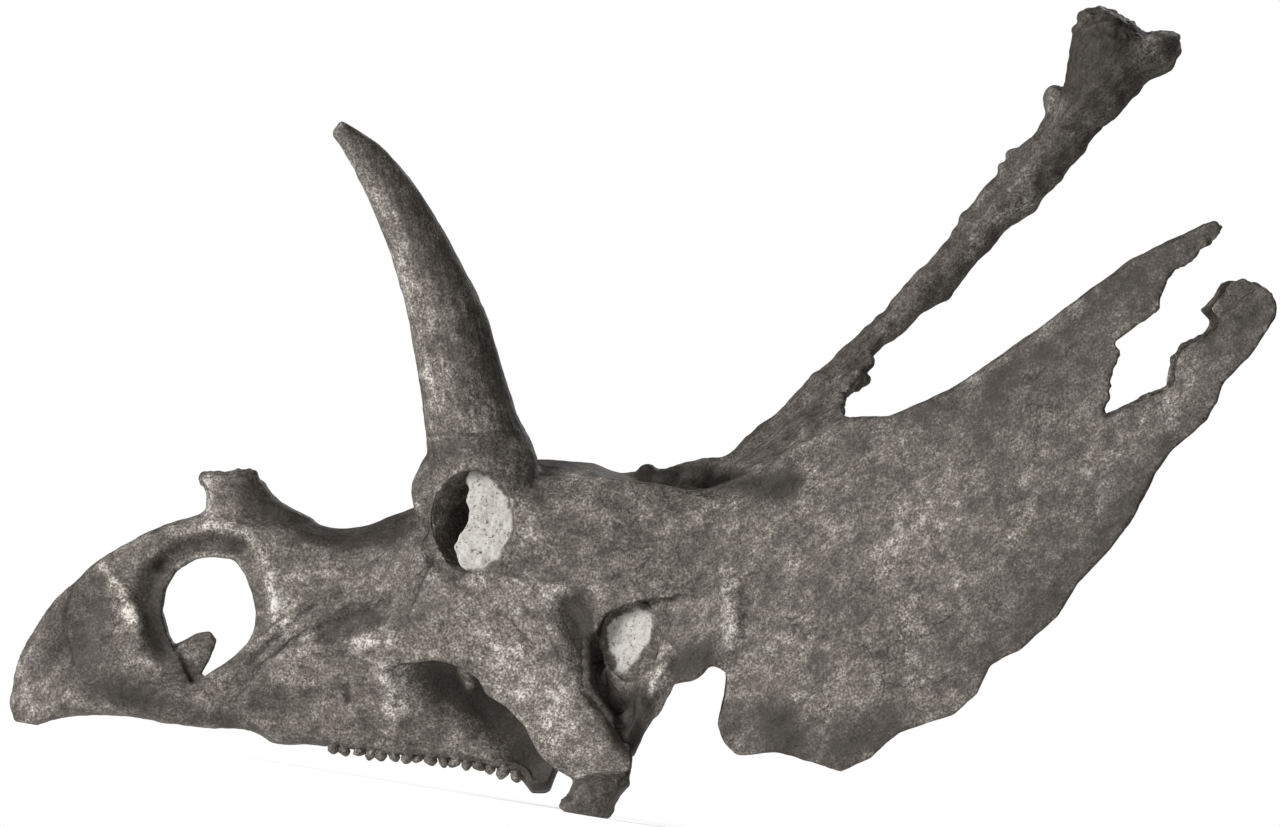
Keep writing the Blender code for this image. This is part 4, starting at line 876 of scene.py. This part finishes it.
def blended_form():
    """Every bone run together into one form."""
    pieces = [face(), parietal_arch()] + median_bar() + back_of_head()
    strut = prism("strut", NARIAL_STRUT, -STRUT_HALF_WIDTH, STRUT_HALF_WIDTH)
    pieces += [strut, lump("stump", NASAL_STUMP, STUMP_HALF_WIDTH)]
    pieces += both(blade, "cheek", JUGAL, cheek_out, JUGAL_THICKNESS)
    pieces += both(blade, "squamosal", SQUAMOSAL, frill_out, SQUAMOSAL_THICKNESS)
    pieces += both(lump, "boss", BOSS, BOSS_HALF_WIDTH, BOSS_OUT) + both(brow_horn) + both(quadrate)
    pieces += both(ellipsoid, "brow", left(BROW_CENTRE), BROW_RADII)
    pieces += both(ellipsoid, "nub", left(HORN_NUB), (HORN_NUB_RADIUS,) * 3)
    pieces += both(ellipsoid, "hinge", left(HINGE_CENTRE), HINGE_RADII)
    pieces += [ellipsoid("bump", (x, y, z), (r, 1.3 * r, r)) for x, y, z, r in BAR_BUMPS]
    form = remeshed(joined("skull", pieces), SMOOTHING)
    combine(form, openings(), "DIFFERENCE")
    reach = FRILL_OPENING_HALF_WIDTH
    combine(form, prism("frill_front", FRILL_OPENING_FRONT, -reach, reach), "DIFFERENCE", solver="EXACT")
    remeshed(form, 2)
    pressed(form)
    return form


def take(rest, name, bounds):
    """Cuts a bone out of the rest, on both sides if its name ends in _L."""
    bone = copied(rest, "fossil_" + name)
    combine(bone, bounds(), "INTERSECT")
    combine(rest, bounds(), "DIFFERENCE")
    if name.endswith("_L"):
        combine(rest, flipped(bounds()), "DIFFERENCE")
    return bone


def side_bounds(outline, low, high):
    """What makes a bone's bounds between two distances out, or across the skull if the lower is less than zero."""
    def bounds():
        far, near = -high / 1000, (-low if low >= 0 else high) / 1000
        return prism("bounds", wavy(metres(outline), SUTURE_WANDER), far, near)
    return bounds


def blade_bounds():
    return blade("bounds", wavy(BLADE_REGION, SUTURE_WANDER), lambda x, z: frill_out(x, z) + 0.030, 0.140)


def regions():
    """Each parted bone's name and what bounds it, in the order of the cuts, with only the left one of a pair."""
    for name, (outline, low, high) in REGIONS.items():
        if name == "jugal":
            yield "squamosal_L", blade_bounds
        yield name + "_L" if low >= 0 else name, side_bounds(outline, low, high)


def tooth(x, edge, out, size, lean):
    """A leaf-shaped tooth with a ridge down its outer face, from inside the jaw to its worn tip."""
    long, wide, tall = size
    turn = np.linspace(0, 2 * math.pi, 18, endpoint=False)
    ridge = 1 + TOOTH_RIDGE * np.maximum(0, -np.sin(turn)) ** 8
    rings = []
    for drop, girth in TOOTH_RINGS:
        along = x + lean * drop + long * girth * np.cos(turn)
        across = -out + wide * girth * np.sin(turn) * ridge
        rings.append(np.stack([along, across, np.full(len(turn), edge - drop * tall)], axis=1))
    return loft("tooth", rings)


def teeth():
    """One side's teeth, uneven in place, size, lean and wear by sines that don't repeat along the row."""
    edge = smooth_keys(FACE_BOTTOM)
    pegs = []
    for k in range(TEETH):
        share = k / (TEETH - 1)
        x = TOOTH_SPAN[0] + share * (TOOTH_SPAN[1] - TOOTH_SPAN[0])
        out = TOOTH_OUT[0] + share * (TOOTH_OUT[1] - TOOTH_OUT[0])
        wear = 0.86 + 0.26 * math.sin(2.4 * k) + 0.18 * math.sin(5.1 * k)
        size = np.array(TOOTH_SIZE) * (1.0 + 0.14 * math.sin(3.3 * k), 1, wear)
        pegs.append(tooth(x + 0.0024 * math.sin(4.3 * k), edge(x), out, size, 0.0022 * math.sin(1.7 * k)))
    return joined("teeth", pegs)


def alveoli(points):
    """Low ridges over the tooth row, one above each tooth."""
    share = (points[:, 0] - TOOTH_SPAN[0]) / (TOOTH_SPAN[1] - TOOTH_SPAN[0])
    height = points[:, 2] - smooth_keys(FACE_BOTTOM)(points[:, 0])
    fade = np.clip(1 - np.abs(share - 0.5) / 0.56, 0, 0.1) * 10 * np.clip(1 - height / ALVEOLI_REACH, 0, 1)
    return fade * np.cos(2 * math.pi * share * (TEETH - 1))


def weathered(bone, kind, normals, walls):
    """Roughens a bone, sinks its sutures here and there and stores each point's tone with its painted light."""
    points = read_points(bone.data)
    tone, slope, length, rough = BONES[kind]
    fibre = layered(along_grain(points, slope, length), FIBRES)
    relief = layered(points, RELIEF) + rough * FIBRE_HEIGHT * fibre * np.clip(walls / FIBRE_FADE, 0, 1)
    if kind == "maxilla":
        relief += ALVEOLI_HEIGHT * alveoli(points)
    if kind == "parietal":
        relief += walls / WALL_REACH * layered(points, BAR_RELIEF)
    broken = strokes(points, BREAKS)
    relief += broken * (layered(points, BROKEN_RELIEF) - BROKEN_LOSS)
    open_here = np.clip(0.55 + 0.9 * noise(points, 0.05, 8), 0.1, 1)
    seam = np.exp(-((walls / SUTURE_HALF_WIDTH) ** 2)) * open_here * SEAMS.get(kind, 1)
    relief -= SUTURE_DEPTH * seam
    write_points(bone.data, points + normals * relief[:, None])
    # The stored tone is the bone's own tone with the strokes' painted shade and highlights and its darker sutures.
    tones = tone * np.clip(1 + strokes(points, TONES_AND_PAINTED_LIGHT), 0.12, 3) * (1 - SUTURE_DARKNESS * seam)
    tones *= (1 + 0.12 * fibre) * (1 + 0.35 * broken * noise(points, 0.009, 9))
    store_tone(bone, tones)


def with_teeth(maxilla, right):
    """Adds the row of teeth to an upper jaw."""
    row = teeth()
    if right:
        flipped(row)
    points, normals = read_points(row.data), read_points(row.data, "normal")
    write_points(row.data, points + normals * (0.0005 * noise(points, 0.005, 10))[:, None])
    store_tone(row, 0.95 + 0.3 * noise(points, 0.008, 11))
    shape = bmesh.new()
    shape.from_mesh(maxilla.data)
    shape.from_mesh(row.data)
    shape.to_mesh(maxilla.data)
    shape.free()
    bpy.data.objects.remove(row)


def store_tone(piece, tones):
    layer = piece.data.attributes.new("tone", "FLOAT", "POINT")
    layer.data.foreach_set("value", tones.astype(np.float32))


def finished(bone, node, material, pose):
    """Turns a piece to its pose, keeps it above the floor, gives it its material and hides the part it stands for.
    """
    bone.data.transform(pose)
    write_points(bone.data, np.maximum(read_points(bone.data), (-np.inf, -np.inf, 0)))
    bone.data.shade_smooth()
    bone.data.set_sharp_from_angle(angle=math.radians(55))
    bone.data.materials.clear()
    bone.data.materials.append(material)
    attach(bone, "root")
    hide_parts(node)
    "matrix" if "matrix" in node else "bone"


def inside_distance(points, outline):
    """How far each (x, z) point lies within an outline; less than zero outside it."""
    ends = np.array([*outline, outline[0]])
    crossings = np.zeros(len(points))
    for (x0, z0), (x1, z1) in zip(ends[:-1], ends[1:]):
        spans = (z0 > points[:, 1]) != (z1 > points[:, 1])
        crossings += spans & (points[:, 0] < x0 + (points[:, 1] - z0) * (x1 - x0) / (z1 - z0 + 1e-12))
    return path_distance(points, ends) * np.where(crossings % 2, 1, -1)


def filling(name, outline, pale, between, slant, centre, radii):
    """Rock or plaster left in an opening: rough, pale within an outline and stained outside it."""
    form = prism(name, wavy(outline, FILLING_WANDER, seed=3), -between[1], -between[0])
    combine(form, ellipsoid("inside", left(centre), 1.12 * np.array(radii), segments=48), "INTERSECT")
    remeshed(form, 4, voxel=max(VOXEL * 0.6, 0.002))
    points, normals = read_points(form.data), read_points(form.data, "normal")
    points[:, 1] -= slant * (points[:, 0] - centre[0])
    write_points(form.data, points + normals * layered(points, FILLING_RELIEF)[:, None])
    edge = inside_distance(points[:, [0, 2]], pale) + layered(points, PALE_EDGE)
    store_tone(form, np.clip(0.5 + edge / PALE_EDGE_WIDTH, 0, 1))
    return form


# ---------------------------------------------------------------- materials

class Shader:
    """Builds a node tree in a few words."""

    def __init__(self, name):
        self.material = bpy.data.materials.new(name)
        self.material.use_nodes = True
        self.nodes = self.material.node_tree.nodes
        self.links = self.material.node_tree.links
        self.surface = self.nodes["Principled BSDF"]

    def add(self, kind, inputs=None, **settings):
        node = self.nodes.new("ShaderNode" + kind)
        for name, value in settings.items():
            setattr(node, name, value)
        for name, value in (inputs or {}).items():
            self.put(node.inputs[name], value)
        return node

    def put(self, socket, value):
        if isinstance(value, bpy.types.NodeSocket):
            self.links.new(value, socket)
        else:
            socket.default_value = value

    def math(self, operation, a, b=0.0, clamp=False):
        node = self.nodes.new("ShaderNodeMath")
        node.operation, node.use_clamp = operation, clamp
        self.put(node.inputs[0], a)
        self.put(node.inputs[1], b)
        return node.outputs[0]

    def between(self, value, low, high, start=0.0, end=1.0):
        """Maps a value from low..high to start..end and holds it there."""
        node = self.add("MapRange", {"Value": value, "From Min": low, "From Max": high, "To Min": start,
                                     "To Max": end})
        return node.outputs["Result"]

    def noise(self, where, scale, detail=4.0, roughness=0.6, distortion=0.0):
        node = self.add("TexNoise", {"Vector": where, "Scale": scale, "Detail": detail, "Roughness": roughness,
                                     "Distortion": distortion})
        return node.outputs["Fac"]

    def mottle(self, where, scale, detail, roughness, distortion, spread, swing):
        """Noise as a factor that swings about 1."""
        return self.between(self.noise(where, scale, detail, roughness, distortion), 0.5 - spread, 0.5 + spread,
                            1 - swing, 1 + swing)

    def product(self, *values):
        return functools.reduce(lambda a, b: self.math("MULTIPLY", a, b), values)

    def ramp(self, value, stops):
        node = self.add("ValToRGB", {"Fac": value})
        marks = node.color_ramp.elements
        while len(marks) < len(stops):
            marks.new(0.5)
        for mark, (place, colour) in zip(marks, stops):
            mark.position, mark.color = place, (*colour, 1)
        return node.outputs["Color"]

    def bump(self, height, strength, distance, normal=None):
        inputs = {"Height": height, "Strength": strength, "Distance": distance}
        if normal:
            inputs["Normal"] = normal
        return self.add("Bump", inputs).outputs["Normal"]


BONE_PALETTE = [
    (0.00, (0.012, 0.010, 0.008)), (0.25, (0.048, 0.041, 0.034)), (0.50, (0.128, 0.116, 0.099)),
    (0.75, (0.275, 0.256, 0.226)), (1.00, (0.520, 0.496, 0.450)),
]


PALETTE_SHARE = 0.420  # of the palette, that a tone of 1 reaches

# Mottling, as layers of noise: scale, detail, roughness, distortion, how far its values spread and how far the tone
# swings with them.
STAINS, BLOTCHES = (10, 6, 0.62, 0.4, 0.16, 0.22), (34, 6, 0.68, 0.0, 0.16, 0.35)
SPECKLES, STREAKS = (250, 4, 0.70, 0.0, 0.16, 0.46), (120, 4, 0.60, 0.0, 0.20, 0.20)
PALE_STAINS, PALE_SPECKLES = (44, 5, 0.65, 0.0, 0.16, 0.38), (190, 4, 0.70, 0.0, 0.16, 0.50)
SPECKLE_FLOOR = 0.22  # what speckles add or take however dark the bone is
FLECK_TONE = 0.45
CRACK_CELLS, CRACK_BEND, CRACK_WIDTH, CRACK_DARKNESS = 9.0, 0.10, 0.013, 0.50
PORE_CELLS, PORE_RADII, PORE_DARKNESS = 170.0, (0.10, 0.26), 0.55


def bone_material(kind):
    """Mineral-stained bone: mottled, with grain, pores, fine cracks and pale worn flecks."""
    _, slope, length, rough = BONES[kind]
    if "fossil_" + kind in bpy.data.materials:
        return bpy.data.materials["fossil_" + kind]
    s = Shader("fossil_" + kind)
    place = s.add("TexCoord").outputs["Object"]
    # Each bone has its own part of the noise, but the horn goes on from the bone under it.
    shift = 0.37 * list(BONES).index("postorbital" if kind == "brow_horn" else kind)
    moved = s.add("Mapping", {"Vector": place, "Location": (shift, shift, shift)}).outputs["Vector"]
    turned = s.add("Mapping", {"Vector": moved, "Rotation": (0, math.radians(slope), 0)}).outputs["Vector"]
    grain = s.add("Mapping", {"Vector": turned, "Scale": (1 / length, 1, 1)}).outputs["Vector"]
    speckled = s.mottle(moved, *SPECKLES)
    # Each point's tone: the bone's own tone with the painted shade and highlights of the strokes.
    mean = s.add("Attribute", attribute_name="tone").outputs["Fac"]
    value = s.product(mean, s.mottle(moved, *STAINS), s.mottle(moved, *BLOTCHES), s.mottle(grain, *STREAKS))
    least = s.math("MULTIPLY", s.math("SUBTRACT", speckled, 1.0), SPECKLE_FLOOR)
    value = s.math("ADD", s.math("MULTIPLY", value, speckled), least)
    # Pale flecks where the surface has worn or been filled.
    worn = s.between(s.noise(moved, 7, 3, 0.5), 0.48, 0.62)
    value = s.math("ADD", value, s.product(s.between(s.noise(moved, 62, 6, 0.7), 0.58, 0.68), worn, FLECK_TONE))
    # Cracks along the edges of wandering cells, and pores, each only in some places.
    wander = s.add("TexNoise", {"Vector": moved, "Scale": 9.0, "Detail": 6.0, "Roughness": 0.6})
    bent = s.add("MixRGB", {"Fac": CRACK_BEND, "Color1": grain, "Color2": wander.outputs["Color"]}, blend_type="ADD")
    cell = s.add("TexVoronoi", {"Vector": bent.outputs["Color"], "Scale": CRACK_CELLS}, feature="DISTANCE_TO_EDGE")
    crack = s.product(s.between(cell.outputs["Distance"], 0.0, CRACK_WIDTH, 1.0, 0.0),
                      s.between(s.noise(moved, 5.5, 3, 0.5), 0.50, 0.62), CRACK_DARKNESS)
    cell = s.add("TexVoronoi", {"Vector": moved, "Scale": PORE_CELLS})
    pore = s.product(s.between(cell.outputs["Distance"], *PORE_RADII, 1.0, 0.0),
                     s.between(s.noise(moved, 16, 3, 0.5), 0.48, 0.60), PORE_DARKNESS)
    dark = s.math("SUBTRACT", 1.0, s.math("MAXIMUM", crack, pore))
    value = s.math("MULTIPLY", value, dark)
    colour = s.ramp(s.math("MULTIPLY", value, PALETTE_SHARE, clamp=True), BONE_PALETTE)
    normal = s.bump(s.noise(grain, 95, 5, 0.6), 0.55 * rough, 0.004)
    normal = s.bump(s.noise(moved, 260, 3, 0.6), 0.35, 0.0015, normal)
    normal = s.bump(dark, 0.8, 0.002, normal)
    s.put(s.surface.inputs["Base Color"], colour)
    s.put(s.surface.inputs["Normal"], normal)
    s.put(s.surface.inputs["Roughness"], s.between(value, 0.3, 1.6, 0.62, 0.86))
    s.surface.inputs["Specular IOR Level"].default_value = 0.25
    return s.material


MATRIX_PALETTE = [
    (0.0, (0.020, 0.017, 0.014)), (0.20, (0.10, 0.090, 0.076)), (0.50, (0.44, 0.425, 0.39)),
    (0.75, (0.60, 0.58, 0.54)),
]
STAINED_TONE = 0.42  # of the matrix where it is stained like bone


def matrix_material():
    """Pale plaster and rock with dark grit, stained like bone where its tone is low."""
    s = Shader("pale_matrix")
    place = s.add("TexCoord").outputs["Object"]
    cloud = s.between(s.noise(place, 30, 5, 0.6), 0.3, 0.7, 0.84, 1.12)
    grain = s.between(s.noise(place, 240, 4, 0.7), 0.3, 0.7, 0.82, 1.16)
    grit = s.between(s.noise(place, 150, 4, 0.8), 0.57, 0.63, 1.0, 0.30)
    pale = s.add("Attribute", attribute_name="tone").outputs["Fac"]
    mottled = s.product(s.mottle(place, *PALE_STAINS), s.mottle(place, *PALE_SPECKLES), STAINED_TONE)
    value = s.math("ADD", s.product(pale, cloud, grain, grit), s.product(s.math("SUBTRACT", 1.0, pale), mottled))
    colour = s.ramp(s.math("MULTIPLY", value, 0.5, clamp=True), MATRIX_PALETTE)
    s.put(s.surface.inputs["Base Color"], colour)
    s.put(s.surface.inputs["Normal"], s.bump(s.noise(place, 120, 6, 0.7), 0.6, 0.004))
    s.surface.inputs["Roughness"].default_value = 0.9
    s.surface.inputs["Specular IOR Level"].default_value = 0.2
    return s.material


# ---------------------------------------------------------------- the skull

def floor_plane():
    """The floor, as a line from the side: its slope and its height at x = 0."""
    slope = (BEAK_REST[1] - CHEEK_REST[1]) / (BEAK_REST[0] - CHEEK_REST[0])
    return slope, CHEEK_REST[1] - slope * CHEEK_REST[0] + FLOOR_FLAT


def skull():
    """Builds every bone, weathers it and sets it in the frame."""
    slope, level = floor_plane()
    pose = (Matrix.Translation((-MIDDLE, 0, 0)) @ Matrix.Rotation(math.atan(slope), 4, "Y")
            @ Matrix.Translation((0, 0, -level)))
    form = blended_form()
    field = Field(form)
    bones = [take(form, name, bounds) for name, bounds in regions()] + [form]
    form.name = "fossil_braincase"
    for bone in bones:
        kind = bone.name.removeprefix("fossil_").removesuffix("_L")
        normals, walls = field.around(read_points(bone.data))
        pieces = {kind: bone}
        if bone.name.endswith("_L"):
            pieces = {kind + "_L": bone, kind + "_R": flipped(copied(bone, "fossil_" + kind + "_R"))}
        for node, piece in pieces.items():
            weathered(piece, kind, normals * (1, -1 if node.endswith("_R") else 1, 1), walls)
            if kind == "maxilla":
                with_teeth(piece, node.endswith("_R"))
            finished(piece, node, bone_material(kind), pose)
    pale = matrix_material()
    for kind, *shape in (
        ("orbit_matrix", ORBIT_MATRIX, ORBIT_PALE, ORBIT_MATRIX_OUT, ORBIT_SLANT, ORBIT_CENTRE, ORBIT_RADII),
        ("temporal_matrix", TEMPORAL_MATRIX, TEMPORAL_PALE, TEMPORAL_MATRIX_OUT, TEMPORAL_SLANT, TEMPORAL_CENTRE,
         TEMPORAL_RADII),
    ):
        form = filling(kind, *shape)
        finished(flipped(copied(form, "fossil_" + kind + "_R")), kind + "_R", pale, pose)
        form.name = "fossil_" + kind + "_L"
        finished(form, kind + "_L", pale, pose)
    return pose


# ---------------------------------------------------------------- studio

def studio(pose):
    """Pale floor, soft light from the front left, and a long lens level with the middle of the skull."""
    scene = bpy.context.scene
    scene.view_settings.view_transform = "Standard"
    world = bpy.data.worlds.new("studio")
    scene.world = world
    world.use_nodes = True
    nodes, links = world.node_tree.nodes, world.node_tree.links
    backdrop = nodes["Background"]
    backdrop.inputs["Color"].default_value = (1, 1, 1, 1)
    seen = nodes.new("ShaderNodeLightPath").outputs["Is Camera Ray"]
    level = nodes.new("ShaderNodeMapRange")
    links.new(seen, level.inputs["Value"])
    level.inputs["To Min"].default_value, level.inputs["To Max"].default_value = WORLD_LIGHT, 1.0
    links.new(level.outputs["Result"], backdrop.inputs["Strength"])

    angles = np.linspace(0, 2 * math.pi, FLOOR_SIDES, endpoint=False)
    points = [(0, 0, -FLOOR_DROP)]
    points += [(r * math.cos(a), r * math.sin(a), -FLOOR_DROP) for r in FLOOR_RINGS for a in angles]
    around = [(k, (k + 1) % FLOOR_SIDES) for k in range(FLOOR_SIDES)]
    faces = [(0, 1 + a, 1 + b) for a, b in around]
    for inner in range(1, 1 + FLOOR_SIDES * (len(FLOOR_RINGS) - 1), FLOOR_SIDES):
        outer = inner + FLOOR_SIDES
        faces += [(inner + a, outer + a, outer + b, inner + b) for a, b in around]
    mesh = bpy.data.meshes.new("floor")
    mesh.from_pydata(points, [], faces)
    floor = linked("floor", mesh)
    s = Shader("pale_floor")
    s.surface.inputs["Base Color"].default_value = (FLOOR_SHADE, FLOOR_SHADE, FLOOR_SHADE, 1)
    s.surface.inputs["Roughness"].default_value = 0.9
    s.surface.inputs["Specular IOR Level"].default_value = 0.1
    s.surface.inputs["Emission Color"].default_value = (1, 1, 1, 1)
    s.surface.inputs["Emission Strength"].default_value = FLOOR_GLOW
    far = s.add("VectorMath", {0: s.add("TexCoord").outputs["Object"]}, operation="LENGTH").outputs["Value"]
    s.put(s.surface.inputs["Alpha"], s.between(far, *FLOOR_FADE, 1.0, 0.0))
    mesh.materials.append(s.material)

    for name, (place, size, power) in LAMPS.items():
        lamp = bpy.data.lights.new(name, "AREA")
        lamp.energy, lamp.size = power, size
        lit = linked(name, lamp)
        lit.location = place
        lit.rotation_euler = (Vector((0, 0, 0.6)) - lit.location).to_track_quat("-Z", "Y").to_euler()

    lens = bpy.data.cameras.new("camera")
    lens.lens, lens.sensor_width, lens.clip_start, lens.clip_end = LENS, SENSOR, 1, 200
    camera = linked("camera", lens)
    camera.location = pose @ Vector((0, 0, MIDDLE_HEIGHT)) + Vector((0, -PICTURE_WIDTH * LENS / SENSOR, 0))
    turn = Matrix.Rotation(math.atan(floor_plane()[0]), 4, "Y")
    camera.rotation_euler = (turn @ Matrix.Rotation(math.pi / 2, 4, "X")).to_euler()
    scene.camera = camera


studio(skull())
